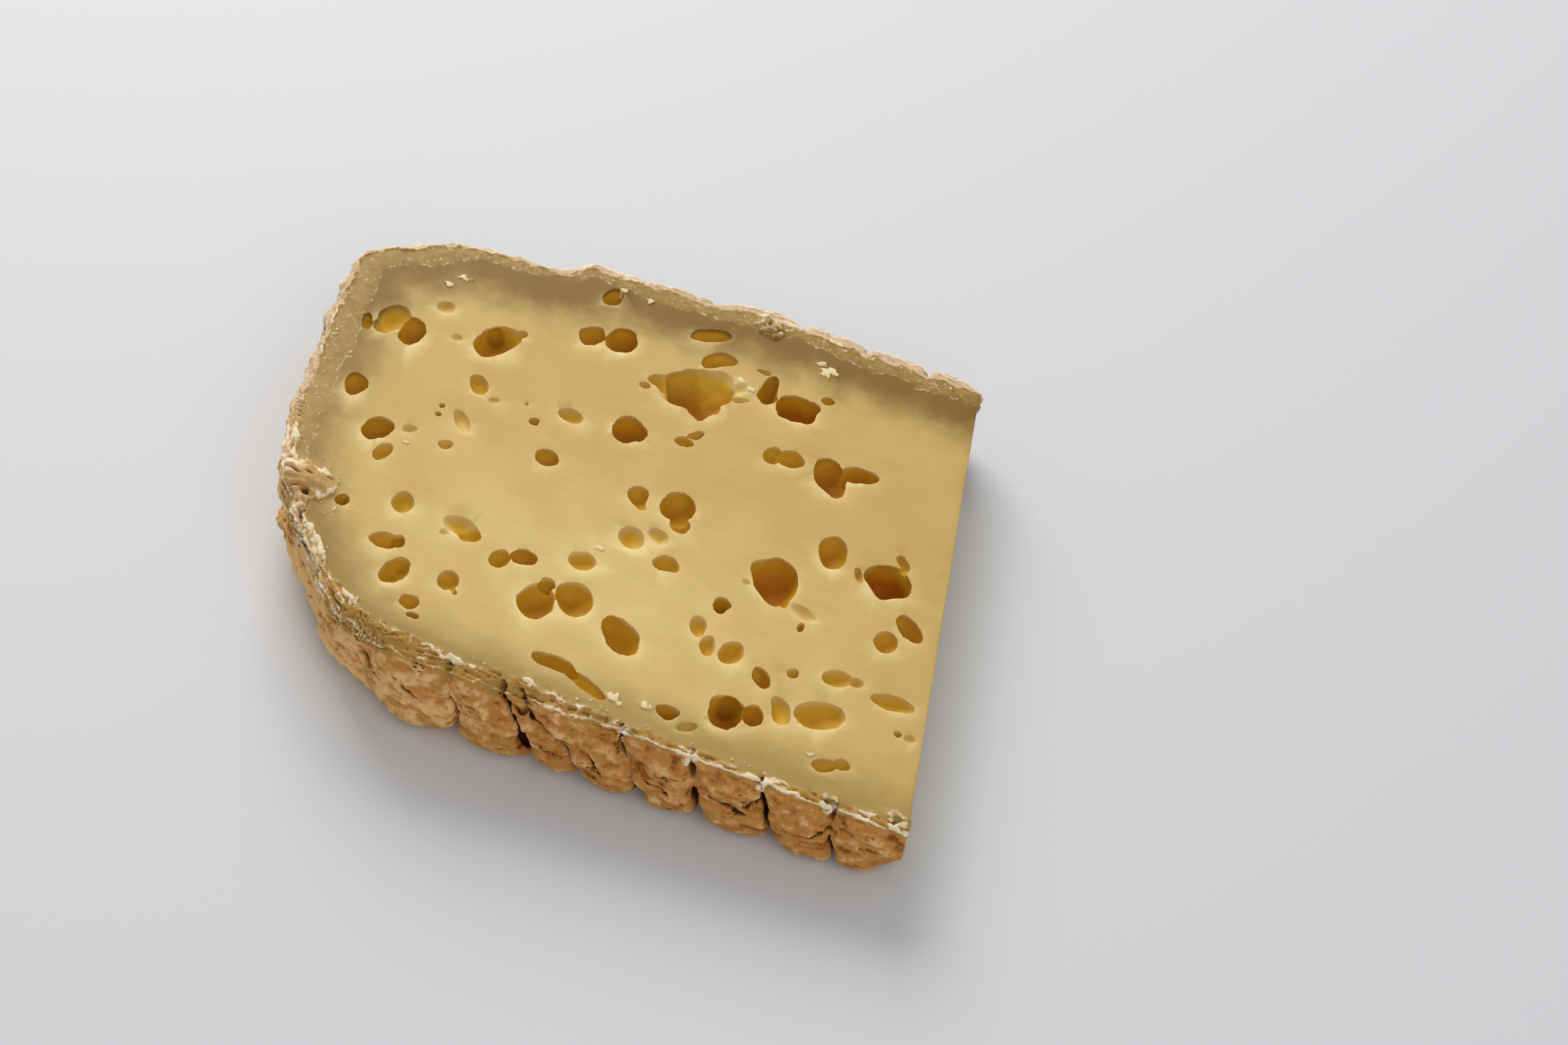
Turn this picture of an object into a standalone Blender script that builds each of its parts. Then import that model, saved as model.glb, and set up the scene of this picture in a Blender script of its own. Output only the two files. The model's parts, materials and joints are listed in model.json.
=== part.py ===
"""A slab of cooked pressed cheese, cut from a wheel and lying on one of its two cut faces.

The slab is one solid. X runs from the outer rind (-X) to the cut nearer the middle of the wheel (+X),
Y across the wheel from one of its faces to the other, and Z up. The origin is on the surface that the
slab lies on, under the middle of its box. The sizes below are in millimetres, and become metres where a
mesh is placed.
"""

import math
import random

import bmesh
import bpy
from mathutils import Matrix, Vector, noise

MM = 0.001

# The slab between its two cut faces: a wedge, thinner towards the middle of the wheel
WHEEL_HEIGHT = 117.0
CUT_X_NEAR = 74.0
CUT_X_FAR = 56.5
THICKNESS_AT_CUT = 16.5
TAPER = 0.064

# Where the rim turns round the outer rind, and along the far face of the wheel
HEEL_START_X = -31.0
HEEL = (
    (-42.0, -52.5), (-51.5, -43.0), (-59.5, -34.0), (-65.8, -23.0), (-69.6, -9.0),
    (-72.0, 9.0), (-74.6, 26.0), (-73.6, 37.0), (-64.3, 44.1),
)
FAR_RIM = (
    (-54.0, 49.0), (-35.0, 50.8), (-28.0, 54.8), (-6.0, 56.0), (9.0, 58.5), (32.0, 58.0), (56.5, 57.5),
)
STATION_STEP = 3.1

# Furrows down both faces of the wheel: x at the rim, and each one's lean towards +X down to the foot
FURROWS = (
    (-17.5, 2.5), (-6.5, 7.0), (-3.0, 14.0), (17.5, 5.0), (31.2, 3.0), (45.3, 3.4), (59.3, 1.9),
)
FURROW_HALF_WIDTH = 0.7
FURROW_DEPTH = 2.4
FURROW_SHARE = {0.0: 0.5, 1.0: 0.25}
PILLOW_SWELL = 1.9
PILLOW_STATIONS = 4

# How far the rind stands out from the rim's line at each level, from the foot (0) to the rim (1). The corner
# is where a face of the wheel meets the narrow cut, and its foot is drawn in over a run from the cut.
LEVELS = (0.0, 0.07, 0.19, 0.34, 0.5, 0.65, 0.8, 0.93, 1.0)
FACE_PROFILE = (-2.8, -0.9, 0.3, 0.8, 0.7, 0.4, 0.0, -0.4, -1.2)
HEEL_PROFILE = (-3.9, -2.6, -1.3, -0.4, 0.1, 0.3, 0.2, -0.2, -1.0)
CORNER_PROFILE = (-12.0, -9.6, -6.2, -3.2, -1.2, -0.2, 0.0, -0.4, -1.2)
CORNER_RUN = 11.0
CRUMPLE = 2.1
CRUMPLE_PITCH = 5.5
RIM_RAG = 0.5
RIM_BAND = 3.6
RIM_BAND_WANDER = 0.5
CUT_EDGE_BAND = 0.8

# Eyes in the upper face: x, y, half length, half width, turn in degrees, depth. The torn hollow is several
# eyes run into one, whose floors lie deeper on the -Y side.
LARGE_EYES = (
    (33.0, -11.0, 5.7, 4.4, 105, 5.4), (53.5, -2.5, 4.3, 4.1, 0, 7.6), (10.0, -37.5, 4.8, 3.2, -42, 4.2),
    (-0.8, -33.0, 4.3, 3.4, -55, 3.8), (-7.5, -36.5, 4.1, 3.6, 80, 4.2), (23.0, 34.0, 4.3, 3.5, 0, 7.0),
    (50.8, -39.5, 5.0, 3.3, 20, 2.8), (9.5, -1.8, 3.8, 3.5, 90, 4.1), (34.3, -46.8, 3.4, 3.1, 90, 4.8),
    (-6.5, 13.2, 3.5, 3.3, 0, 5.2), (-39.6, 23.8, 4.8, 3.5, 62, 4.2), (35.0, 19.3, 4.6, 3.2, 115, 5.2),
    (-55.6, 18.7, 3.8, 2.6, 90, 4.6), (-60.5, 20.8, 3.8, 3.2, 70, 2.3), (41.4, 0.4, 4.3, 2.8, 105, 3.6),
)
TORN_HOLLOW = (
    (2.6, 29.8, 7.0, 5.6, 20, 5.4), (5.4, 26.2, 3.6, 2.9, 60, 7.0), (-4.4, 28.8, 3.6, 2.0, -8, 1.8),
    (4.6, 34.0, 5.6, 3.0, 20, 2.0), (-2.2, 26.0, 3.6, 1.8, -35, 0.8), (10.4, 34.2, 2.4, 1.8, 60, 0.8),
)
SMALL_EYES = (
    (-16.0, 36.2, 3.6, 3.0, 90, 5.0), (-22.0, 34.5, 3.0, 2.3, 65, 4.0), (0.2, 45.9, 4.2, 1.8, 26, 2.6),
    (3.4, 39.6, 3.3, 1.9, 52, 2.6), (16.3, 35.5, 3.0, 1.7, 98, 4.8), (26.0, 20.2, 3.0, 2.2, 12, 3.0),
    (22.4, 19.6, 2.3, 1.7, 90, 2.6), (40.2, 22.2, 3.5, 2.2, 15, 5.0), (-60.2, 0.0, 2.8, 2.2, 90, 3.6),
    (-18.4, -1.3, 2.2, 2.0, 0, 3.4), (-18.3, 11.5, 2.9, 2.0, 0, 1.7), (-38.0, 11.0, 3.1, 1.9, 120, 1.9),
    (1.3, -2.7, 2.4, 2.0, 100, 2.8), (11.2, -6.0, 2.7, 1.8, 120, 3.6), (3.8, -13.6, 3.2, 2.7, 130, 1.8),
    (12.2, -16.8, 2.4, 1.9, 0, 2.5), (60.8, -12.0, 3.1, 2.0, -38, 3.6), (57.5, -17.0, 2.7, 2.3, 90, 2.6),
    (-2.9, -23.3, 2.8, 2.4, 0, 2.0), (30.8, -32.3, 3.0, 2.3, 75, 2.4), (38.0, -35.7, 2.7, 1.5, -50, 3.2),
    (51.3, -29.6, 3.0, 2.1, 20, 1.8), (63.0, -30.7, 4.5, 1.9, 5, 1.8), (44.0, -42.0, 3.0, 1.9, 115, 1.8),
    (39.2, -44.8, 2.5, 1.9, 100, 4.4), (1.2, -49.0, 4.2, 1.6, -3, 3.4), (7.2, -51.0, 3.6, 1.2, -20, 2.0),
    (-17.6, -29.7, 2.4, 1.9, 90, 2.5), (-13.5, -27.3, 2.6, 2.0, 10, 3.6), (-51.9, -9.0, 3.3, 2.6, 75, 4.2),
    (-48.4, -14.2, 2.5, 1.5, 70, 1.9), (-39.7, -24.5, 2.8, 2.2, 95, 2.0), (-27.5, -25.3, 3.8, 2.4, -5, 1.5),
    (-39.0, -35.0, 3.1, 2.1, 15, 2.4), (-34.5, -41.4, 3.4, 2.4, 70, 3.1), (-24.4, -39.0, 2.5, 2.0, 110, 2.3),
    (55.2, -50.3, 2.3, 1.5, 20, 2.0), (26.0, -32.8, 2.4, 1.5, 110, 1.7), (22.8, -28.8, 2.4, 1.7, 105, 1.7),
    (-22.0, 47.0, 2.6, 1.8, 70, 3.0), (-50.4, -29.1, 1.5, 1.3, 95, 3.6), (25.3, -22.0, 1.8, 1.5, 90, 4.2),
    (24.3, -51.0, 1.9, 1.5, 0, 4.0), (-29.2, -47.0, 1.9, 1.8, 0, 2.3), (58.2, -48.7, 1.5, 1.2, 0, 1.8),
)
TORN_LEAN = 0.6
LEAST_DEPTH_SHARE = 0.25
EYE_LUMPS = 0.14
EYE_LUMP_PITCH = 4.0
MOST_UNDERCUT = -0.45
MOST_DISHED = 0.8
LEAST_OFF_CENTRE = 0.07
LARGE_EYE_FACES = (13, 6)
SMALL_EYE_FACES = (8, 5)

# Eyes in the underside and in the narrow cut, by a rule
HIDDEN_EYE_SEED = 11
UNDER_EYE_PITCH = 18.0
UNDER_EYE_HALF_LENGTH = (1.8, 4.2)
UNDER_EYE_MARGIN = 8.0
REST_POINT_CLEARANCE = 9.0
CUT_EYE_Y = (-44.0, -27.0, -15.0, 4.0, 19.0, 37.0)
CUT_EYE_HALF_LENGTH = (1.4, 2.4)

PASTE_COLOUR = (0.70, 0.50, 0.20, 1.0)
RIND_COLOUR = (0.45, 0.29, 0.17, 1.0)


def upper_face(x):
    """Height of the upper cut face over x."""
    return THICKNESS_AT_CUT + TAPER * (CUT_X_NEAR - x)


def near_face(x):
    """Y of the rim along the near face of the wheel, which is a little fuller towards the cut."""
    share = (x - HEEL_START_X) / (CUT_X_NEAR - HEEL_START_X)
    return -WHEEL_HEIGHT / 2 + 1.0 - math.sin(math.pi / 2 * share)


def smooth_path(points, step):
    """Points about a step apart on the smooth curve through the given ones, without the two ends."""
    placed = [Vector(point) for point in points]
    placed = [placed[0] * 2 - placed[1], *placed, placed[-1] * 2 - placed[-2]]
    path = []
    for p0, p1, p2, p3 in zip(placed, placed[1:], placed[2:], placed[3:]):
        cuts = max(1, round((p2 - p1).length / step))
        for cut in range(cuts):
            t = cut / cuts
            square = (p0 * 2 - p1 * 5 + p2 * 4 - p3) * t**2
            cube = (p1 * 3 - p0 - p2 * 3 + p3) * t**3
            path.append((p1 * 2 + (p2 - p0) * t + square + cube) / 2)
    return path[1:]


def furrow_lean(x):
    """How far the near face's relief leans at x, between the leans of the furrows on either side."""
    ends = [(HEEL_START_X, 0.0), *FURROWS, (CUT_X_NEAR, 0.0)]
    for (x0, lean0), (x1, lean1) in zip(ends, ends[1:]):
        if x <= x1:
            return lean0 + (lean1 - lean0) * (x - x0) / (x1 - x0)
    return 0.0


def far_face(x):
    """Y of the rim along the far face of the wheel, which steps out towards the cut."""
    for (x0, y0), (x1, y1) in zip(FAR_RIM, FAR_RIM[1:]):
        if x <= x1:
            share = (x - x0) / (x1 - x0)
            return y0 + (y1 - y0) * share * share * (3 - 2 * share)
    return FAR_RIM[-1][1]


def face_stations(side, rim, left, right):
    """Stations along a face of the wheel, close together at each furrow: x, y, side, share of the pillow."""
    edges = [left, *[x for x, lean in FURROWS if left < x < right], right]
    stations = []
    for start, end in zip(edges, edges[1:]):
        first = start + FURROW_HALF_WIDTH
        run = end - start - 2 * FURROW_HALF_WIDTH
        stations.append((start, rim(start), side, 0.0))
        for i in range(PILLOW_STATIONS):
            x = first + run * i / (PILLOW_STATIONS - 1)
            stations.append((x, rim(x), side, (x - start) / (end - start)))
    return stations[1:-1]


def outline():
    """Stations round the rim, anticlockwise from above: x, y, side, share of a pillow."""
    near = face_stations("near", near_face, HEEL_START_X, CUT_X_NEAR)
    far = face_stations("far", far_face, FAR_RIM[1][0], CUT_X_FAR)
    heel_points = [FAR_RIM[1], FAR_RIM[0], *reversed(HEEL), (HEEL_START_X, near_face(HEEL_START_X))]
    heel = [(point.x, point.y, "heel", 0.5) for point in smooth_path(heel_points, STATION_STEP)]
    near_corner = (CUT_X_NEAR, near_face(CUT_X_NEAR), "corner", 0.5)
    far_corner = (CUT_X_FAR, far_face(CUT_X_FAR), "corner", 0.5)
    return [*near, near_corner, far_corner, *reversed(far), *heel]


def outward(stations, i):
    """The direction straight out of the outline at station i."""
    before = Vector(stations[i - 1][:2])
    after = Vector(stations[(i + 1) % len(stations)][:2])
    along = (after - before).normalized()
    if stations[i][2] == "corner":
        along = Vector((1.0, 0.0)) * math.copysign(1.0, -stations[i][1])
    return Vector((along.y, -along.x))


def pillow_relief(share):
    """How far a pillow of rind stands out at a share of its width, from the furrow at either end."""
    if share in (0.0, 1.0):
        return -FURROW_DEPTH
    return PILLOW_SWELL * math.sin(math.pi * share) ** 0.6


def crumple(place):
    """The crumpled skin, in folds that run round the slab rather than up it."""
    stretched = Vector((place.x, place.y, place.z * 2.2)) / CRUMPLE_PITCH
    return CRUMPLE * noise.fractal(stretched, 1.0, 2.0, 2)


def side_point(stations, i, level):
    """Where the side's ring at a level passes station i."""
    x, y, side, share = stations[i]
    up = LEVELS[level]
    height = up * upper_face(x)
    reach = HEEL_PROFILE[level]
    if side != "heel":
        corner = max(0.0, 1 - (cut_x(y) - x) / CORNER_RUN) ** 1.5
        reach = FACE_PROFILE[level] * (1 - corner) + CORNER_PROFILE[level] * corner
    if side in ("near", "far"):
        reach += pillow_relief(share) * FURROW_SHARE.get(up, 1.0)
        reach += 0.35 * crumple(Vector((x, y, height)))
    elif side == "heel":
        reach += crumple(Vector((x, y, height))) * (0.3 + 0.7 * math.sin(math.pi * up))
    if side in ("near", "far"):
        x += furrow_lean(x) * (1 - up)
    place = Vector((x, y)) + outward(stations, i) * reach
    if up == 1 and side != "corner":
        height += RIM_RAG * noise.noise(Vector((x, y, 3.0)) / 2.5)
    return Vector((place.x, place.y, height))


def upper_edge_point(stations, i):
    """Where the flat of the upper face begins, a band's width inside the rim."""
    x, y, side, share = stations[i]
    band = RIM_BAND + RIM_BAND_WANDER * noise.noise(Vector((x, y, 7.0)) / 1.5)
    place = Vector((x, y)) - outward(stations, i) * band
    if side == "corner":
        place.x -= CUT_EDGE_BAND
    return Vector((place.x, place.y, upper_face(place.x)))


def slab_mesh():
    """The slab without its eyes: a drum with a ring at each level, moved out to the outline."""
    stations = outline()
    count = len(stations)
    rings = len(LEVELS) + 1
    mesh = bmesh.new()
    bmesh.ops.create_cone(
        mesh, cap_ends=True, segments=count, radius1=1.0, radius2=1.0, depth=rings - 1.0
    )
    uprights = [edge for edge in mesh.edges if abs(edge.verts[0].co.z - edge.verts[1].co.z) > 0.5]
    bmesh.ops.subdivide_edges(mesh, edges=uprights, cuts=rings - 2)
    for face in mesh.faces:
        face.material_index = 1 if abs(face.normal.z) < 0.5 else 0
    for vertex in mesh.verts:
        turn = math.atan2(vertex.co.y, vertex.co.x) - math.pi / 2
        i = round(turn / math.tau * count) % count
        level = round(vertex.co.z + (rings - 1) / 2)
        on_side = level < len(LEVELS)
        place = side_point(stations, i, level) if on_side else upper_edge_point(stations, i)
        vertex.co = place * MM
    bmesh.ops.recalc_face_normals(mesh, faces=mesh.faces)
    return mesh


def eye_mesh(eye, faces, seed, lean):
    """A lumpy bubble opened by the plane z = 0, its floor at -depth and deeper to -Y by its lean."""
    half_length, half_width, turn, depth = eye
    cut_height = (half_width**2 - depth**2) / (half_width**2 + depth**2)
    cut_height = max(MOST_UNDERCUT, min(MOST_DISHED, cut_height))
    if abs(cut_height) < LEAST_OFF_CENTRE:
        cut_height = LEAST_OFF_CENTRE
    opening = math.sqrt(1 - cut_height**2)
    half_height = depth / (1 - cut_height)
    turned = math.radians(turn)
    mesh = bmesh.new()
    bmesh.ops.create_uvsphere(mesh, u_segments=faces[0], v_segments=faces[1], radius=1.0)
    for vertex in mesh.verts:
        out = vertex.co.normalized()
        size = Vector((half_length / opening, half_width / opening, half_height))
        bubble = Vector((out.x * size.x, out.y * size.y, out.z * size.z))
        lump = noise.noise(bubble / EYE_LUMP_PITCH + Vector((seed, 0.0, 0.0)))
        bubble = bubble * (1 + EYE_LUMPS * lump) + Vector((0.0, 0.0, cut_height * half_height))
        if bubble.z < 0:
            across = bubble.x * math.sin(turned) + bubble.y * math.cos(turned)
            bubble.z *= max(LEAST_DEPTH_SHARE, 1 - lean * across / half_width)
        vertex.co = bubble
    return mesh


def finished(mesh, name, collection, materials=()):
    """The named object of a mesh, in a collection."""
    data = bpy.data.meshes.new(name)
    mesh.to_mesh(data)
    mesh.free()
    for material in materials:
        data.materials.append(material)
    made = bpy.data.objects.new(name, data)
    collection.objects.link(made)
    return made


def add_eye(cutters, place, towards, eye, faces, lean=0.0):
    """A cutter for one eye, opened by the face that looks towards a direction."""
    number = len(cutters.objects)
    mesh = eye_mesh(eye, faces, number, lean)
    tip = Vector((0.0, 0.0, 1.0)).rotation_difference(towards).to_matrix().to_4x4()
    spin = Matrix.Rotation(math.radians(eye[2]), 4, "Z")
    mesh.transform(Matrix.Translation(place * MM) @ tip @ spin @ Matrix.Scale(MM, 4))
    cutter = finished(mesh, f"eye_{number}", cutters)
    cutter.hide_render = True
    cutter.display_type = "WIRE"


def add_upper_eyes(cutters):
    """The eyes and the torn hollow that the upper face shows."""
    upward = Vector((TAPER, 0.0, 1.0)).normalized()
    for eyes, faces, lean in (
        (LARGE_EYES, LARGE_EYE_FACES, 0.0), (TORN_HOLLOW, LARGE_EYE_FACES, TORN_LEAN),
        (SMALL_EYES, SMALL_EYE_FACES, 0.0),
    ):
        for x, y, *eye in eyes:
            add_eye(cutters, Vector((x, y, upper_face(x))), upward, eye, faces, lean)


def add_hidden_eyes(cutters):
    """Eyes in the underside, in loose rows clear of the point it rests on, and a few in the narrow cut."""
    draw = random.Random(HIDDEN_EYE_SEED)
    inner = [Vector((x, y)) for x, y, side, share in outline()]
    steps = round(CUT_X_NEAR / UNDER_EYE_PITCH)
    for column in range(-steps, steps + 1):
        for row in range(-steps, steps + 1):
            x = (column + draw.uniform(-0.35, 0.35)) * UNDER_EYE_PITCH
            y = (row + draw.uniform(-0.35, 0.35)) * UNDER_EYE_PITCH
            half_length = draw.uniform(*UNDER_EYE_HALF_LENGTH)
            half_width = half_length * draw.uniform(0.65, 0.95)
            eye = (half_length, half_width, draw.uniform(0, 180), half_length * 0.9)
            place = Vector((x, y))
            room = min((place - point).length for point in inner)
            inside = abs(y) < WHEEL_HEIGHT / 2 and HEEL[5][0] < x < cut_x(y)
            if inside and room > UNDER_EYE_MARGIN + half_length and place.length > REST_POINT_CLEARANCE:
                add_eye(cutters, Vector((x, y, 0.0)), Vector((0.0, 0.0, -1.0)), eye, SMALL_EYE_FACES)
    for y in CUT_EYE_Y:
        half_length = draw.uniform(*CUT_EYE_HALF_LENGTH)
        eye = (half_length, half_length * 0.8, draw.uniform(0, 180), half_length)
        height = THICKNESS_AT_CUT * draw.uniform(0.4, 0.6)
        add_eye(cutters, Vector((cut_x(y), y, height)), Vector((1.0, 0.0, 0.0)), eye, SMALL_EYE_FACES)


def cut_x(y):
    """X of the narrow cut, which leans across the slab."""
    share = (y + WHEEL_HEIGHT / 2) / WHEEL_HEIGHT
    return CUT_X_NEAR + share * (CUT_X_FAR - CUT_X_NEAR)


def plain_material(name, colour, roughness):
    """A Principled material of one colour."""
    material = bpy.data.materials.new(name)
    material.use_nodes = True
    shader = material.node_tree.nodes["Principled BSDF"]
    shader.inputs["Base Color"].default_value = colour
    shader.inputs["Roughness"].default_value = roughness
    shader.inputs["Metallic"].default_value = 0.0
    return material


def put_over_origin(slab, cutters):
    """Moves the slab and its cutters so that the origin is under the middle of the slab's box."""
    points = [vertex.co for vertex in slab.data.vertices]
    middle_x = (min(point.x for point in points) + max(point.x for point in points)) / 2
    middle_y = (min(point.y for point in points) + max(point.y for point in points)) / 2
    for piece in (slab, *cutters.objects):
        piece.data.transform(Matrix.Translation((-middle_x, -middle_y, 0.0)))


def main():
    for old in list(bpy.data.objects):
        bpy.data.objects.remove(old)
    slab_parts = bpy.data.collections.new("cheese_slab")
    cutters = bpy.data.collections.new("eye_cutters")
    for collection in (slab_parts, cutters):
        bpy.context.scene.collection.children.link(collection)
    paste = plain_material("paste", PASTE_COLOUR, 0.45)
    rind = plain_material("rind", RIND_COLOUR, 0.85)
    slab = finished(slab_mesh(), "cheese_slab", slab_parts, (paste, rind))
    add_upper_eyes(cutters)
    add_hidden_eyes(cutters)
    put_over_origin(slab, cutters)
    eyes = slab.modifiers.new("eyes", "BOOLEAN")
    eyes.operation = "DIFFERENCE"
    eyes.operand_type = "COLLECTION"
    eyes.collection = cutters


main()
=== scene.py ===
"""The finish of a slab of cooked pressed cheese: its eyes, its crumpled rind and the colours of its paste.

X runs from the outer rind to the cut nearer the middle of the wheel, Y across the wheel from one of its
faces to the other, and Z up. Sizes are in millimetres and become metres where a mesh is placed.
"""

import itertools
import json
import math
import random

import bmesh
import bpy
import numpy as np
from mathutils import Matrix, Vector, kdtree, noise

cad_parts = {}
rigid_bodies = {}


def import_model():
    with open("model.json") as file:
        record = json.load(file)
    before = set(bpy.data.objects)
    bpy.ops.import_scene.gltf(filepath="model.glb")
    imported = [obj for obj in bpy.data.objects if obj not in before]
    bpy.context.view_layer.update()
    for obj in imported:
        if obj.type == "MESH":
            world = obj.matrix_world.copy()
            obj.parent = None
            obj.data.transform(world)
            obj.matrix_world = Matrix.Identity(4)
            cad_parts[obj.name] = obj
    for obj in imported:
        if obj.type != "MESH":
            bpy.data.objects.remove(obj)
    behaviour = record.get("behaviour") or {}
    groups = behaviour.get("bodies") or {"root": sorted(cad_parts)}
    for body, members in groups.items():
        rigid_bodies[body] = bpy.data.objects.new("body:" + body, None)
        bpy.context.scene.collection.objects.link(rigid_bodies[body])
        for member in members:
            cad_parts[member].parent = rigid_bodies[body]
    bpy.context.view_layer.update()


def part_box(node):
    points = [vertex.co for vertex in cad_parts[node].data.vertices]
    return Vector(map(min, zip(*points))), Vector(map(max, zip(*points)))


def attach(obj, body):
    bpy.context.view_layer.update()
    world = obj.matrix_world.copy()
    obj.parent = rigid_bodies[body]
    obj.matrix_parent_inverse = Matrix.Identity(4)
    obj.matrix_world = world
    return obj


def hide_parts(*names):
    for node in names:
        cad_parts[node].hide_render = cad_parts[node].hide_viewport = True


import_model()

# ---------------------------------------------------------------------------------------------------
# The slab: one thick slice sawn out of a wheel of firm cheese. Both wide faces and the narrow end are
# cut paste, and the wheel's own rind runs round the other three sides, pressed into pillows by the
# folds of its cloth. It is begun as a drum whose rings are pulled out to the wheel's outline.
# ---------------------------------------------------------------------------------------------------

MM = 0.001
WHEEL_HEIGHT = 117.0
CUT_X_NEAR = 74.0
CUT_X_FAR = 56.5
THICKNESS_AT_CUT = 16.5
TAPER = 0.064
PAST_THE_CUT = 4.0
OVER_ORIGIN = Vector((1.0300, 0.0060, 0.0))

NEAR_FULLNESS = 1.0
HEEL_START_X = -31.0
HEEL = (
    (-42.0, -52.5), (-51.5, -43.0), (-59.5, -34.0), (-65.8, -23.0), (-69.6, -9.0),
    (-72.0, 9.0), (-74.6, 26.0), (-73.6, 37.0), (-64.3, 44.1),
)
FAR_RIM = (
    (-54.0, 49.0), (-35.0, 50.8), (-28.0, 54.8), (-6.0, 56.0), (9.0, 58.5), (32.0, 58.0), (56.5, 57.5),
)
STATION_STEP = 0.9
PAST_THE_RIND = 60.0

# Furrows of the near and far faces: x at the rim, share of the depth, and the lean at each level
LEAN_LEVELS = (0.0, 0.25, 0.5, 0.75, 1.0)
FURROWS = (
    (-17.5, 0.5, (1.5, 2.5, 2.3, 1.0, 0.0)), (-6.5, 1.0, (8.0, 6.3, 3.2, 2.4, 0.0)),
    (-3.0, 1.0, (14.0, 13.0, 10.0, 4.3, 0.0)), (17.5, 0.8, (5.0, 4.2, 2.6, 0.8, 0.0)),
    (31.2, 1.0, (3.0, 2.8, 2.2, 1.2, 0.0)), (45.3, 1.0, (3.4, 3.0, 2.3, 1.3, 0.0)),
    (59.3, 1.0, (1.9, 1.6, 0.9, 0.4, 0.0)),
)
FURROW_DEPTH = 3.2
LEAST_FURROW_SHARE = 0.55
FURROW_SHARE_GAIN = 0.45
FURROW_DEEPEST_BELOW_MIDDLE = 0.1
FURROW_REACH = 0.5
FURROW_RAGGEDNESS = 0.55
FURROW_RAGS_UP = 4.0
FURROW_WANDER = 1.3
FURROW_WANDER_PITCH = (7.0, 40.0, 4.5)
PILLOW_SWELL = 1.9

# A pillow's relief starts at this share of its full one, and grows to it over this share of the height
PILLOW_AT_FOOT = 0.4
PILLOW_GROWS_OVER = 0.12
PILLOW_AT_RIM = 0.55
PILLOW_FADES_OVER = 0.1
FOOT_ROUNDING = 3.2
FOOT_REACH = 0.3
FOOT_EASE = 1.5

# How far the rind stands out from the rim's line at each level, from the foot (0) to the rim (1)
LEVELS = (0.0, 0.07, 0.19, 0.34, 0.5, 0.65, 0.8, 0.93, 1.0)
FACE_PROFILE = (-2.8, -0.9, 0.3, 0.8, 0.7, 0.4, 0.0, -0.4, -1.1)
HEEL_PROFILE = (-3.9, -2.6, -1.3, -0.4, 0.1, 0.3, 0.2, -0.2, -1.0)
CORNER_PROFILE = (-12.0, -9.6, -6.2, -3.2, -1.2, -0.2, 0.0, -0.4, -1.2)
CORNER_RUN = 11.0
CORNER_EASE = 1.5
PROFILE_RINGS = 25
PROFILE_BLEND = 4

CRUMPLE = 2.1
CRUMPLE_PITCH = 5.5
CRUMPLE_FLATTENING = 2.2
HEEL_CRUMPLE_AT_EDGES = 0.3
HEEL_CRUMPLE_GAIN = 0.7
PILLOW_CRUMPLE_SHARE = 0.35
RIM_RAG = 0.4
RIM_RAG_PITCH = 2.5

# Where the upper face rolls over to the rind: rings this far inside the rim, and how low it has sunk at the
# rim, along the far side and by x along the near one
ROLL_RINGS = (1.5, 2.6, 3.8, 5.0, 6.2)
ROLL_SHARE = 0.2
FAR_ROLL_DROP = 0.55
ROLL_DROP = ((-80.0, 0.9), (-50.0, 1.2), (-34.0, 1.7), (8.0, 1.6), (20.0, 0.7), (80.0, 0.5))


def upper_face(x):
    """Height of the upper cut face over x."""
    return THICKNESS_AT_CUT + TAPER * (CUT_X_NEAR - x)


def near_face(x):
    """Y of the rim along the near face of the wheel, which is a little fuller towards the cut."""
    share = (x - HEEL_START_X) / (CUT_X_NEAR - HEEL_START_X)
    return -WHEEL_HEIGHT / 2 + NEAR_FULLNESS - NEAR_FULLNESS * math.sin(math.pi / 2 * min(share, 1.0))


def far_face(x):
    """Y of the rim along the far face of the wheel, which steps out towards the cut."""
    for (x0, y0), (x1, y1) in zip(FAR_RIM, FAR_RIM[1:]):
        if x <= x1:
            share = (x - x0) / (x1 - x0)
            return y0 + (y1 - y0) * share * share * (3 - 2 * share)
    return FAR_RIM[-1][1]


def smooth_path(points, step):
    """Points about a step apart on the smooth curve through the given ones, without the two ends."""
    placed = [Vector(point) for point in points]
    placed = [placed[0] * 2 - placed[1], *placed, placed[-1] * 2 - placed[-2]]
    path = []
    for p0, p1, p2, p3 in zip(placed, placed[1:], placed[2:], placed[3:]):
        cuts = max(1, round((p2 - p1).length / step))
        for cut in range(cuts):
            t = cut / cuts
            square = (p0 * 2 - p1 * 5 + p2 * 4 - p3) * t**2
            cube = (p1 * 3 - p0 - p2 * 3 + p3) * t**3
            path.append((p1 * 2 + (p2 - p0) * t + square + cube) / 2)
    return path[1:]


def furrow_lean(x, up):
    """How far the relief at x leans at a share of the height, between the furrows on either side."""
    ends = [(HEEL_START_X, 0.0), (CUT_X_NEAR, 0.0)]
    ends[1:1] = [(furrow, np.interp(up, LEAN_LEVELS, leans)) for furrow, share, leans in FURROWS]
    return float(np.interp(x, [end[0] for end in ends], [end[1] for end in ends]))


def cut_x(y):
    """X of the narrow cut, which leans across the slab."""
    share = (y + WHEEL_HEIGHT / 2) / WHEEL_HEIGHT
    return CUT_X_NEAR + share * (CUT_X_FAR - CUT_X_NEAR)


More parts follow.
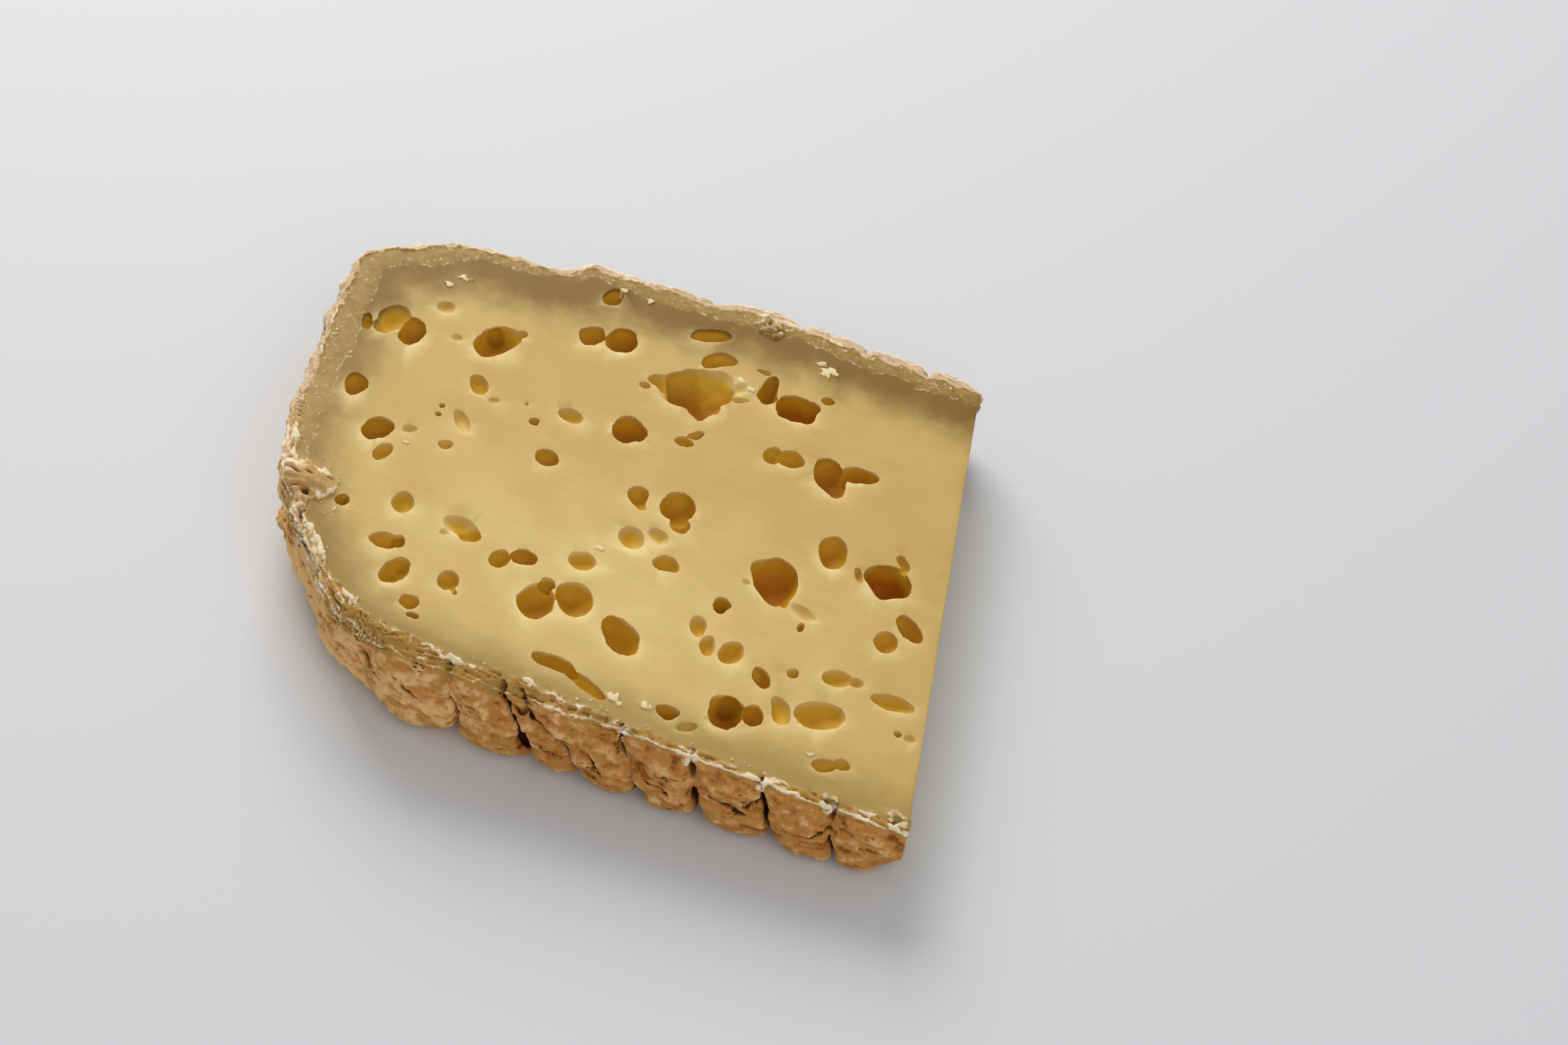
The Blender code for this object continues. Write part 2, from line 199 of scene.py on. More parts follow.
def outline():
    """Stations round the rim, anticlockwise from above: x, y and side."""
    near_count = round((CUT_X_NEAR + PAST_THE_CUT - HEEL_START_X) / STATION_STEP)
    near_x = np.linspace(HEEL_START_X, CUT_X_NEAR + PAST_THE_CUT, near_count)
    far_count = round((CUT_X_FAR + PAST_THE_CUT - FAR_RIM[1][0]) / STATION_STEP)
    far_x = np.linspace(CUT_X_FAR + PAST_THE_CUT, FAR_RIM[1][0], far_count)
    heel_points = [FAR_RIM[1], FAR_RIM[0], *reversed(HEEL), (HEEL_START_X, near_face(HEEL_START_X))]
    return [
        *[(x, near_face(x), "near") for x in near_x],
        *[(x, far_face(x), "far") for x in far_x],
        *[(point.x, point.y, "heel") for point in smooth_path(heel_points, STATION_STEP)],
    ]


def outward(stations, i):
    """The direction straight out of the outline at station i."""
    side = stations[i][2]
    before = stations[i - 1]
    after = stations[(i + 1) % len(stations)]
    if side != "heel" and before[2] != side and before[2] != "heel":
        before = stations[i]
    if side != "heel" and after[2] != side and after[2] != "heel":
        after = stations[i]
    along = Vector((after[0] - before[0], after[1] - before[1])).normalized()
    return Vector((along.y, -along.x))


def pillow_relief(x, side, up):
    """How far a pillow of rind stands out at x and at a share of its height, and how deep its furrow is."""
    left, right = (HEEL_START_X, CUT_X_NEAR) if side == "near" else (FAR_RIM[1][0], CUT_X_FAR)
    furrows = [furrow[:2] for furrow in FURROWS if left < furrow[0] < right]
    edges = [left, *[furrow for furrow, share in furrows], right]
    nearest, share = min(furrows, key=lambda furrow: abs(x - furrow[0]))
    gap = abs(x - nearest)
    ragged = 1 + FURROW_RAGGEDNESS * noise.noise(Vector((nearest, up * FURROW_RAGS_UP, 7.0)))
    lifted = min(1.0, up + FURROW_DEEPEST_BELOW_MIDDLE)
    by_height = LEAST_FURROW_SHARE + FURROW_SHARE_GAIN * math.sin(math.pi * lifted)
    depth = FURROW_DEPTH * share * ragged * by_height
    groove = depth * math.exp(-((gap / (FURROW_REACH * ragged)) ** 2))
    for start, end in zip(edges, edges[1:]):
        if start <= x <= end:
            share = (x - start) / (end - start)
            swell = max(0.0, math.sin(math.pi * share)) ** 0.5
            foot = FOOT_ROUNDING * (1 - swell) * max(0.0, 1 - up / FOOT_REACH) ** FOOT_EASE
            return PILLOW_SWELL * swell - groove - foot
    return -groove


def crumple(place):
    """The crumpled skin, in folds that run round the slab rather than up it."""
    stretched = Vector((place[0], place[1], place[2] * CRUMPLE_FLATTENING)) / CRUMPLE_PITCH
    return CRUMPLE * noise.fractal(stretched, 1.0, 2.0, 2)


def furrow_wander(x, y, up):
    """How far the relief at x has strayed sideways at a share of the height."""
    pitch_x, pitch_y, pitch_z = FURROW_WANDER_PITCH
    place = Vector((x / pitch_x, y / pitch_y, up * upper_face(x) / pitch_z))
    return FURROW_WANDER * noise.noise(place) * math.sin(math.pi * up)


def side_profiles(stations):
    """How far the rind stands out at each station and ring, blended between the kinds of side."""
    ups = np.linspace(0, 1, PROFILE_RINGS)
    kinds = {
        "face": np.interp(ups, LEVELS, FACE_PROFILE),
        "heel": np.interp(ups, LEVELS, HEEL_PROFILE),
        "corner": np.interp(ups, LEVELS, CORNER_PROFILE),
    }
    rows = []
    for x, y, side in stations:
        if side == "heel":
            rows.append(kinds["heel"])
            continue
        to_cut = cut_x(y) - x
        corner = min(1.0, max(0.0, 1 - to_cut / CORNER_RUN)) ** CORNER_EASE
        rows.append(kinds["face"] * (1 - corner) + kinds["corner"] * corner)
    rows = np.array(rows)
    shifts = range(-PROFILE_BLEND, PROFILE_BLEND + 1)
    return sum(np.roll(rows, shift, axis=0) for shift in shifts) / len(shifts)


def side_point(stations, profiles, i, ring):
    """Where the side's ring passes station i."""
    x, y, side = stations[i]
    up = ring / (PROFILE_RINGS - 1)
    height = up * upper_face(x)
    reach = profiles[i][ring]
    if side == "heel":
        crumpled = HEEL_CRUMPLE_AT_EDGES + HEEL_CRUMPLE_GAIN * math.sin(math.pi * up)
        reach += crumple((x, y, height)) * crumpled
    else:
        fade = min(1.0, up / PILLOW_GROWS_OVER + PILLOW_AT_FOOT)
        fade *= min(1.0, (1 - up) / PILLOW_FADES_OVER + PILLOW_AT_RIM)
        reach += pillow_relief(x, side, up) * fade + PILLOW_CRUMPLE_SHARE * crumple((x, y, height))
        x += furrow_lean(x, up) + furrow_wander(x, y, up)
    place = Vector((x, y)) + outward(stations, i) * reach
    if ring == PROFILE_RINGS - 1:
        height += RIM_RAG * noise.noise(Vector((x, y, 3.0)) / RIM_RAG_PITCH)
        height -= roll_drop(x, y)
    elif up > 1 - ROLL_SHARE:
        height -= roll_drop(x, y) * (up - (1 - ROLL_SHARE)) / ROLL_SHARE
    return Vector((place.x, place.y, height))


def roll_drop(x, y):
    """How far the upper face has sunk at the rim."""
    near = float(np.interp(x, [row[0] for row in ROLL_DROP], [row[1] for row in ROLL_DROP]))
    return near if y < 0 else FAR_ROLL_DROP


def roll_point(stations, i, ring):
    """Where a ring of the rolled edge passes station i."""
    x, y, side = stations[i]
    inside = ROLL_RINGS[ring]
    place = Vector((x, y)) - outward(stations, i) * inside
    share = 1 - inside / ROLL_RINGS[-1]
    return Vector((place.x, place.y, upper_face(place.x) - roll_drop(x, y) * share**2))


def select_only(obj):
    """Leaves one object selected and active."""
    bpy.ops.object.select_all(action="DESELECT")
    obj.select_set(True)
    bpy.context.view_layer.objects.active = obj


def drum(stations):
    """A cylinder with a ring of points for each level of the rind and each ring of the rolled edge."""
    rings = PROFILE_RINGS + len(ROLL_RINGS)
    bpy.ops.mesh.primitive_cylinder_add(vertices=len(stations), radius=1, depth=rings - 1)
    made = bpy.context.active_object
    select_only(made)
    bpy.ops.object.mode_set(mode="EDIT")
    bpy.ops.mesh.select_all(action="DESELECT")
    mesh = bmesh.from_edit_mesh(made.data)
    for edge in mesh.edges:
        edge.select_set(abs(edge.verts[0].co.z - edge.verts[1].co.z) > 0.5)
    bmesh.update_edit_mesh(made.data)
    bpy.ops.mesh.subdivide(number_cuts=rings - 2)
    bpy.ops.object.mode_set(mode="OBJECT")
    return made


def slab_without_eyes():
    """The slab with its pillows and furrows, sawn off at the narrow cut."""
    stations = outline()
    profiles = side_profiles(stations)
    made = drum(stations)
    count = len(stations)
    rings = PROFILE_RINGS + len(ROLL_RINGS)
    for vertex in made.data.vertices:
        turn = math.atan2(vertex.co.y, vertex.co.x) - math.pi / 2
        i = round(turn / math.tau * count) % count
        level = round(vertex.co.z + (rings - 1) / 2)
        if level < PROFILE_RINGS:
            place = side_point(stations, profiles, i, level)
        else:
            place = roll_point(stations, i, level - PROFILE_RINGS)
        vertex.co = place
    select_only(made)
    bpy.ops.object.mode_set(mode="EDIT")
    bpy.ops.mesh.select_all(action="SELECT")
    near_end = Vector((cut_x(-PAST_THE_RIND), -PAST_THE_RIND, 0.0))
    far_end = Vector((cut_x(PAST_THE_RIND), PAST_THE_RIND, 0.0))
    along = (far_end - near_end).normalized()
    bpy.ops.mesh.bisect(
        plane_co=near_end, plane_no=(along.y, -along.x, 0.0), use_fill=True, clear_outer=True
    )
    bpy.ops.mesh.select_all(action="SELECT")
    bpy.ops.mesh.normals_make_consistent(inside=False)
    bpy.ops.object.mode_set(mode="OBJECT")
    made.name = "cheese_slab_dressed"
    return made


slab = slab_without_eyes()

# ---------------------------------------------------------------------------------------------------
# The eyes: bubbles of gas that the saw has opened, from pinholes to hollows as wide as a thumb, with
# one torn hollow where several have broken together. Each is a lumpy bubble cut out of the paste.
# ---------------------------------------------------------------------------------------------------

# Each eye: x, y, half length, half width, turn in degrees, depth
LARGE_EYES = (
    (33.0, -11.0, 5.7, 4.4, 105, 5.4), (53.5, -2.5, 4.3, 4.1, 0, 7.6), (10.0, -37.5, 4.8, 3.2, -42, 4.2),
    (-0.8, -33.0, 4.3, 3.4, -55, 3.8), (-7.5, -36.5, 4.1, 3.6, 80, 4.2), (23.0, 34.0, 4.3, 3.5, 0, 7.0),
    (50.8, -39.5, 5.0, 3.3, 20, 2.8), (9.5, -1.8, 3.8, 3.5, 90, 4.1), (34.3, -46.8, 3.4, 3.1, 90, 4.8),
    (-6.5, 13.2, 3.5, 3.3, 0, 5.2), (-39.6, 23.8, 4.8, 3.5, 62, 4.2), (35.0, 19.3, 4.6, 3.2, 115, 5.2),
    (-55.6, 18.7, 3.8, 2.6, 90, 4.6), (-60.5, 20.8, 3.8, 3.2, 70, 2.3), (41.4, 0.4, 4.3, 2.8, 105, 3.6),
)
TORN_HOLLOW = (
    (2.6, 29.8, 7.0, 5.6, 20, 5.4), (5.4, 26.2, 3.6, 2.9, 60, 7.0), (-4.4, 28.8, 3.6, 2.0, -8, 1.8),
    (4.6, 34.0, 5.6, 3.0, 20, 2.0), (-2.2, 26.0, 3.6, 1.8, -35, 0.8), (10.4, 34.2, 2.4, 1.8, 60, 0.8),
)
TORN_LEAN = 0.6
LEAST_DEPTH_SHARE = 0.25
SMALL_EYES = (
    (-16.0, 36.2, 3.6, 3.0, 90, 5.0), (-22.0, 34.5, 3.0, 2.3, 65, 4.0), (0.2, 45.9, 4.2, 1.8, 26, 2.6),
    (3.4, 39.6, 3.3, 1.9, 52, 2.6), (16.3, 35.5, 3.0, 1.7, 98, 4.8), (26.0, 20.2, 3.0, 2.2, 12, 3.0),
    (22.4, 19.6, 2.3, 1.7, 90, 2.6), (40.2, 22.2, 3.5, 2.2, 15, 5.0), (-60.2, 0.0, 2.8, 2.2, 90, 3.6),
    (-18.4, -1.3, 2.2, 2.0, 0, 3.4), (-18.3, 11.5, 2.9, 2.0, 0, 1.7), (-38.0, 11.0, 3.1, 1.9, 120, 1.9),
    (1.3, -2.7, 2.4, 2.0, 100, 2.8), (11.2, -6.0, 2.7, 1.8, 120, 3.6), (3.8, -13.6, 3.2, 2.7, 130, 1.8),
    (12.2, -16.8, 2.4, 1.9, 0, 2.5), (60.8, -12.0, 3.1, 2.0, -38, 3.6), (57.5, -17.0, 2.7, 2.3, 90, 2.6),
    (-2.9, -23.3, 2.8, 2.4, 0, 2.0), (30.8, -32.3, 3.0, 2.3, 75, 2.4), (38.0, -35.7, 2.7, 1.5, -50, 3.2),
    (51.3, -29.6, 3.0, 2.1, 20, 1.8), (63.0, -30.7, 4.5, 1.9, 5, 1.8), (44.0, -42.0, 3.0, 1.9, 115, 1.8),
    (39.2, -44.8, 2.5, 1.9, 100, 4.4), (1.2, -49.0, 4.2, 1.6, -3, 3.4), (7.2, -51.0, 3.6, 1.2, -20, 2.0),
    (-17.6, -29.7, 2.4, 1.9, 90, 2.5), (-13.5, -27.3, 2.6, 2.0, 10, 3.6), (-51.9, -9.0, 3.3, 2.6, 75, 4.2),
    (-48.4, -14.2, 2.5, 1.5, 70, 1.9), (-39.7, -24.5, 2.8, 2.2, 95, 2.0), (-27.5, -25.3, 3.8, 2.4, -5, 1.5),
    (-39.0, -35.0, 3.1, 2.1, 15, 2.4), (-34.5, -41.4, 3.4, 2.4, 70, 3.1), (-24.4, -39.0, 2.5, 2.0, 110, 2.3),
    (55.2, -50.3, 2.3, 1.5, 20, 2.0), (26.0, -32.8, 2.4, 1.5, 110, 1.7), (22.8, -28.8, 2.4, 1.7, 105, 1.7),
    (-22.0, 47.0, 2.6, 1.8, 70, 3.0), (-50.4, -29.1, 1.5, 1.3, 95, 3.6), (25.3, -22.0, 1.8, 1.5, 90, 4.2),
    (24.3, -51.0, 1.9, 1.5, 0, 4.0), (-29.2, -47.0, 1.9, 1.8, 0, 2.3), (58.2, -48.7, 1.5, 1.2, 0, 1.8),
)

# Where the wall of an eye opens into another bubble behind it: x, y, how far down, radius
POCKETS = ((-40.4, 26.9, 2.4, 2.0), (-51.2, -9.6, 4.6, 1.7), (34.2, -43.6, 2.6, 2.4), (5.2, 24.6, 4.0, 2.4))

# Pinholes, slits and faint dishes that the saw has only just opened
FINE_EYES = (
    (-52.0, 28.5, 2.3, 1.7, 0, 1.0), (-35.5, 28.0, 1.5, 0.9, 40, 1.6), (-61.5, 17.5, 2.5, 1.9, 0, 1.8),
    (-65.0, 17.5, 2.2, 0.9, 110, 2.0), (-46.8, 21.3, 1.5, 1.3, 0, 0.6), (-33.5, 8.5, 1.8, 1.0, 20, 0.6),
    (-24.3, 6.6, 1.1, 1.0, 0, 2.4), (-42.5, 2.5, 0.6, 0.55, 0, 2.2), (-42.3, 0.0, 0.6, 0.55, 0, 2.2),
    (-37.5, 0.5, 3.6, 1.5, 130, 1.0), (28.3, 39.0, 1.3, 1.1, 0, 2.0), (4.7, 15.0, 1.9, 1.2, 20, 2.4),
    (6.5, 17.8, 1.8, 0.9, 50, 1.5), (55.3, 3.5, 2.2, 0.9, -55, 1.8), (47.7, -3.0, 1.8, 0.7, -65, 1.5),
    (2.9, -5.4, 0.8, 0.7, 0, 1.6), (8.5, -11.0, 3.0, 1.9, -25, 1.2), (28.0, -14.5, 1.2, 1.0, 0, 0.7),
    (40.5, -17.0, 4.0, 1.6, -20, 0.9), (36.5, -16.5, 0.7, 1.1, 0, 2.2), (41.2, -20.7, 0.6, 1.2, 0, 2.2),
    (43.2, -32.0, 1.1, 1.1, 0, 2.0), (65.8, -37.3, 0.7, 0.7, 0, 1.6), (68.5, -37.5, 1.5, 1.2, 0, 0.8),
    (29.0, -52.6, 2.2, 1.2, 30, 1.2), (55.0, -29.0, 1.7, 1.3, 0, 1.3), (-46.0, -6.3, 1.8, 1.2, 30, 0.9),
    (-38.0, -7.0, 1.6, 1.3, 20, 1.2), (-36.9, -34.2, 1.6, 1.4, 80, 3.6),
    (-22.3, -41.2, 0.8, 0.5, -40, 1.4), (-27.3, -49.8, 1.4, 0.6, 0, 2.4), (-7.5, 26.3, 1.2, 0.8, 0, 1.2),
    (34.3, -43.4, 2.9, 1.0, 0, 1.0), (-28.0, 10.5, 1.4, 1.0, 0, 0.8), (13.6, 41.0, 1.6, 0.6, 0, 0.9),
    (11.5, 31.0, 2.6, 0.8, 25, 0.8), (-24.9, -26.6, 2.3, 1.7, 20, 2.3), (-29.6, -28.2, 1.3, 1.0, 0, 0.8),
    (-34.2, -39.4, 1.7, 1.6, 60, 3.0), (-7.0, -31.6, 1.6, 1.3, 0, 3.0),
)

# Corners where a bubble broke through its neighbour: x, y of the eye, direction in degrees, stretch
EYE_TIPS = (
    (33.0, -11.0, -62, 0.22), (33.0, -11.0, 165, 0.10), (53.5, -2.5, -95, 0.16), (53.5, -2.5, -25, 0.18),
    (53.5, -2.5, 75, 0.12), (53.5, -2.5, 165, 0.12), (9.5, -1.8, -50, 0.10), (-6.5, 13.2, -85, 0.16),
    (-6.5, 13.2, 20, 0.10), (-39.6, 23.8, 32, 0.35), (23.0, 34.0, 35, 0.16), (23.0, 34.0, 145, 0.14),
    (23.0, 34.0, -30, 0.18), (23.0, 34.0, -140, 0.12), (34.3, -46.8, 135, 0.28), (34.3, -46.8, 40, 0.2),
    (34.3, -46.8, -60, 0.1), (-55.6, 18.7, 120, 0.15), (35.0, 19.3, 150, 0.2), (35.0, 19.3, -60, 0.15),
    (16.3, 35.5, 90, 0.7), (16.3, 35.5, -150, 0.4), (16.3, 35.5, -20, 0.3), (3.4, 39.6, 15, 0.8),
    (-51.9, -9.0, 30, 0.12), (-51.9, -9.0, -150, 0.1), (12.2, -16.8, -150, 0.2), (12.2, -16.8, -30, 0.25),
    (25.3, -22.0, 10, 0.3), (25.3, -22.0, -70, 0.25), (26.0, -32.8, 80, 0.2), (1.2, -49.0, 170, 0.1),
    (7.2, -51.0, -20, 0.5), (44.0, -42.0, 130, 0.5), (24.3, -51.0, 170, 0.3), (24.3, -51.0, 20, 0.3),
    (-18.4, -1.3, 150, 0.2), (60.8, -12.0, 130, 0.25), (60.8, -12.0, -40, 0.2), (22.8, -28.8, -60, 0.3),
    (-0.8, -33.0, 150, 0.15), (-7.5, -36.5, -80, 0.1), (-60.2, 0.0, 120, 0.2), (1.3, -2.7, -60, 0.25),
    (2.6, 29.8, 160, 0.1), (5.4, 26.2, -80, 0.15), (2.6, 29.8, 35, 0.1), (-22.0, 34.5, 170, 0.2),
)
TIP_REACH = 24.0
SAME_PLACE = 0.01
EYE_LUMPS = 0.16
TEAR_LUMPS = 0.3
LUMP_PITCH_BY_WIDTH = 0.9
LEAST_LUMP_PITCH = 0.5
MOST_LUMP_PITCH = 4.0
FINE_LUMP_SHARE = 0.35
FINE_LUMPS_FINER = 2.3
MOST_UNDERCUT = -0.45
MOST_DISHED = 0.8
LEAST_OFF_CENTRE = 0.07
LARGE_EYE_FACES = (40, 20)
SMALL_EYE_FACES = (28, 14)

# Eyes in the underside and in the narrow cut, by a rule
HIDDEN_EYE_SEED = 11
UNDER_EYE_PITCH = 18.0
UNDER_EYE_STRAY = 0.35
UNDER_EYE_HALF_LENGTH = (1.8, 4.2)
UNDER_EYE_WIDTH_SHARE = (0.65, 0.95)
UNDER_EYE_DEPTH_SHARE = 0.9
UNDER_EYE_MARGIN = 8.0
REST_POINT_CLEARANCE = 9.0
CUT_EYE_Y = (-44.0, -27.0, -15.0, 4.0, 19.0, 37.0)
CUT_EYE_HALF_LENGTH = (1.4, 2.4)
CUT_EYE_WIDTH_SHARE = 0.8
CUT_EYE_HEIGHT_SHARE = (0.4, 0.6)


def add_bubble(place, towards, eye, faces, lumps=EYE_LUMPS, lean=0.0):
    """A lumpy bubble opened by the face that looks towards a direction, and deeper to -Y by its lean."""
    half_length, half_width, turn, depth = eye
    number = len(bubbles.objects)
    cut_height = (half_width**2 - depth**2) / (half_width**2 + depth**2)
    cut_height = max(MOST_UNDERCUT, min(MOST_DISHED, cut_height))
    if abs(cut_height) < LEAST_OFF_CENTRE:
        cut_height = LEAST_OFF_CENTRE
    opening = math.sqrt(1 - cut_height**2)
    half_height = depth / (1 - cut_height)
    size = Vector((half_length / opening, half_width / opening, half_height))
    lump_pitch = min(MOST_LUMP_PITCH, LUMP_PITCH_BY_WIDTH * half_width + LEAST_LUMP_PITCH)
    tips = [tip[2:] for tip in EYE_TIPS if math.hypot(tip[0] - place.x, tip[1] - place.y) < SAME_PLACE]
    tips = [(math.radians(way - turn), stretch) for way, stretch in tips]
    turned = math.radians(turn)
    lumps *= 1 - max(0.0, cut_height)
    bpy.ops.mesh.primitive_uv_sphere_add(segments=faces[0], ring_count=faces[1], radius=1.0)
    bubble = bpy.context.active_object
    bubble.name = f"eye_bubble_{number}"
    for vertex in bubble.data.vertices:
        point = vertex.co * size
        lump = noise.noise(point / lump_pitch + Vector((number, 0.0, 0.0)))
        fine_place = point / lump_pitch * FINE_LUMPS_FINER + Vector((0.0, number, 0.0))
        lump += FINE_LUMP_SHARE * noise.noise(fine_place)
        grown = 1 + lumps * lump
        for way, stretch in tips:
            off = math.degrees(math.acos(math.cos(math.atan2(point.y, point.x) - way)))
            stretched = 1 + stretch * math.exp(-((off / TIP_REACH) ** 2))
            point = Vector((point.x * stretched, point.y * stretched, point.z))
        point = point * grown + Vector((0.0, 0.0, cut_height * half_height))
        across = point.x * math.sin(turned) + point.y * math.cos(turned)
        if point.z < 0:
            point.z *= max(LEAST_DEPTH_SHARE, 1 - lean * across / half_width)
        vertex.co = point
    tip = Vector((0.0, 0.0, 1.0)).rotation_difference(towards).to_matrix().to_4x4()
    spin = Matrix.Rotation(turned, 4, "Z")
    bubble.data.transform(Matrix.Translation(place) @ tip @ spin)
    bubbles.objects.link(bubble)
    bpy.context.scene.collection.objects.unlink(bubble)


def add_upper_bubbles():
    """The eyes that the upper face shows."""
    upward = Vector((TAPER, 0.0, 1.0)).normalized()
    for eyes, faces, lumps, lean in (
        (LARGE_EYES, LARGE_EYE_FACES, EYE_LUMPS, 0.0), (TORN_HOLLOW, LARGE_EYE_FACES, TEAR_LUMPS, TORN_LEAN),
        (SMALL_EYES, SMALL_EYE_FACES, EYE_LUMPS, 0.0), (FINE_EYES, SMALL_EYE_FACES, TEAR_LUMPS, 0.0),
    ):
        for x, y, *eye in eyes:
            add_bubble(Vector((x, y, upper_face(x))), upward, eye, faces, lumps, lean)
    for x, y, down, radius in POCKETS:
        middle = Vector((x, y, upper_face(x) - down))
        add_bubble(middle, upward, (radius, radius, 0, radius), SMALL_EYE_FACES, EYE_LUMPS)


def add_hidden_bubbles():
    """Eyes in the underside, in loose rows clear of the point it rests on, and a few in the narrow cut."""
    draw = random.Random(HIDDEN_EYE_SEED)
    inner = [Vector((x, y)) for x, y, side in outline() if x < cut_x(y)]
    steps = round(CUT_X_NEAR / UNDER_EYE_PITCH)
    for column, row in itertools.product(range(-steps, steps + 1), repeat=2):
        x = (column + draw.uniform(-UNDER_EYE_STRAY, UNDER_EYE_STRAY)) * UNDER_EYE_PITCH
        y = (row + draw.uniform(-UNDER_EYE_STRAY, UNDER_EYE_STRAY)) * UNDER_EYE_PITCH
        half_length = draw.uniform(*UNDER_EYE_HALF_LENGTH)
        half_width = half_length * draw.uniform(*UNDER_EYE_WIDTH_SHARE)
        eye = (half_length, half_width, draw.uniform(0, 180), half_length * UNDER_EYE_DEPTH_SHARE)
        place = Vector((x, y))
        room = min((place - point).length for point in inner)
        inside = abs(y) < WHEEL_HEIGHT / 2 and HEEL[5][0] < x < cut_x(y)
        if inside and room > UNDER_EYE_MARGIN + half_length and place.length > REST_POINT_CLEARANCE:
            add_bubble(Vector((x, y, 0.0)), Vector((0.0, 0.0, -1.0)), eye, SMALL_EYE_FACES)
    for y in CUT_EYE_Y:
        half_length = draw.uniform(*CUT_EYE_HALF_LENGTH)
        eye = (half_length, half_length * CUT_EYE_WIDTH_SHARE, draw.uniform(0, 180), half_length)
        height = THICKNESS_AT_CUT * draw.uniform(*CUT_EYE_HEIGHT_SHARE)
        add_bubble(Vector((cut_x(y), y, height)), Vector((1.0, 0.0, 0.0)), eye, SMALL_EYE_FACES)


bubbles = bpy.data.collections.new("eye_bubbles")
bpy.context.scene.collection.children.link(bubbles)
add_upper_bubbles()
add_hidden_bubbles()

eyes = slab.modifiers.new("eyes", "BOOLEAN")
eyes.operation = "DIFFERENCE"
eyes.operand_type = "COLLECTION"
eyes.collection = bubbles
eyes.solver = "MANIFOLD"
select_only(slab)
bpy.ops.object.modifier_apply(modifier="eyes")
for bubble in list(bubbles.objects):
    bpy.data.objects.remove(bubble)
bpy.data.collections.remove(bubbles)
bpy.context.view_layer.update()

# ---------------------------------------------------------------------------------------------------
# The skin: the paste's faintly waved cut, and the dry rind with its cracks, its curled folds round the
# heel, and the pale lip that stands along the rim. The slab is skinned over in one fine net, pushed in
# and out along its own surface, and thinned where it is flat.
# ---------------------------------------------------------------------------------------------------

SKIN_NET = 0.37
MOST_TRIANGLES = 196000
EYE_LIP_ROUNDING = 0.45
EYE_LIP_ANGLE = math.radians(28)
CLEAR_OF_SKIN = -0.4

# How far the crumpled skin, and then the film it thins to, lie over the face: x, y of the rim, widths
SKIN_OVERLAP = (
    (74.0, -58.5, 1.9, 0.0), (45.0, -58.5, 1.3, 0.0), (18.0, -58.3, 1.6, 0.0), (0.0, -58.0, 3.0, 0.0),
    (-20.0, -57.7, 3.0, 0.0), (-31.0, -57.5, 2.7, 0.0), (-42.0, -52.5, 2.8, 0.0),
    (-51.5, -43.0, 2.4, 0.0), (-59.5, -34.0, 2.6, 2.0), (-65.8, -23.0, 2.4, 5.0), (-69.6, -9.0, 2.1, 6.5),
    (-72.0, 9.0, 1.9, 7.0), (-74.6, 26.0, 2.0, 8.0), (-73.6, 37.0, 1.9, 7.0), (-64.3, 44.1, 1.9, 7.0),
    (-54.0, 49.0, 2.0, 5.5), (-35.0, 50.8, 1.8, 4.0), (-28.0, 54.8, 1.6, 4.0), (-6.0, 56.0, 1.8, 5.5),
    (9.0, 58.5, 2.3, 6.5), (32.0, 58.0, 2.3, 6.5), (56.5, 57.5, 2.0, 6.0),
)
UNDER_SKIN_OVERLAP = 2.4
SKIN_EDGE_WANDER = 0.9
SKIN_EDGE_RAG = 0.3
FAR_OFF = 99.0

# The fold of skin that flops over the face at the heel: x, y, half length, half width, turn in degrees
FLAP = (-60.4, -27.4, 7.6, 5.0, -14)
FLAP_THICKNESS = 0.6
FLAP_FOLD_AT = 1.6
FLAP_FOLD_WIDTH = 1.5
FLAP_FOLD_HEIGHT = 0.9
FLAP_PIT = (-57.8, -29.9)
FLAP_PIT_RADIUS = 0.9
FLAP_PIT_DEPTH = 2.4

# The rind's low relief: how far each kind stands out of the surface, or is sunk in it
LUMP_HEIGHT = 0.36
GRAIN_HEIGHT = 0.10
WRINKLE_HEIGHT = 0.18
HEEL_FOLD_HEIGHT = 0.45
HEEL_SUNK = 0.2
CRACK_DEPTH = 0.4
CREASE_DEPTH = 0.9
CREASE_WIDTH = 0.42
GROOVE_DEPTH = 1.5
GROOVE_WIDTH = 0.5

# The crumpled ridges along the rim, and the pale lip outside them
RIDGE_HEIGHT = 0.42
RIDGE_HEIGHT_MORE_AT_HEEL = 0.22
RIDGES_SUNK = 0.06
LIP_HEIGHT = 0.4
LIP_WIDTH = 0.36
INNER_LIP_HEIGHT = 0.25
INNER_LIP_AT = 0.35
INNER_LIP_WIDTH = 0.4

# Curls of skin where furrows reach the rim: x, y, size
CURLS = (
    (71.2, -56.2, 1.5), (58.2, -57.4, 1.15), (31.3, -58.2, 1.0), (45.6, -58.6, 0.8), (18.0, -57.6, 0.9),
)
CURL_HEIGHT = 0.7
CURL_CORE_DEPTH = 0.8

# The curled knot at the far rim
KNOT = (11.0, 53.6)
KNOT_LENGTHENED = 1.25
KNOT_HEIGHT = 0.75
KNOT_HOLE_DEPTH = 1.5

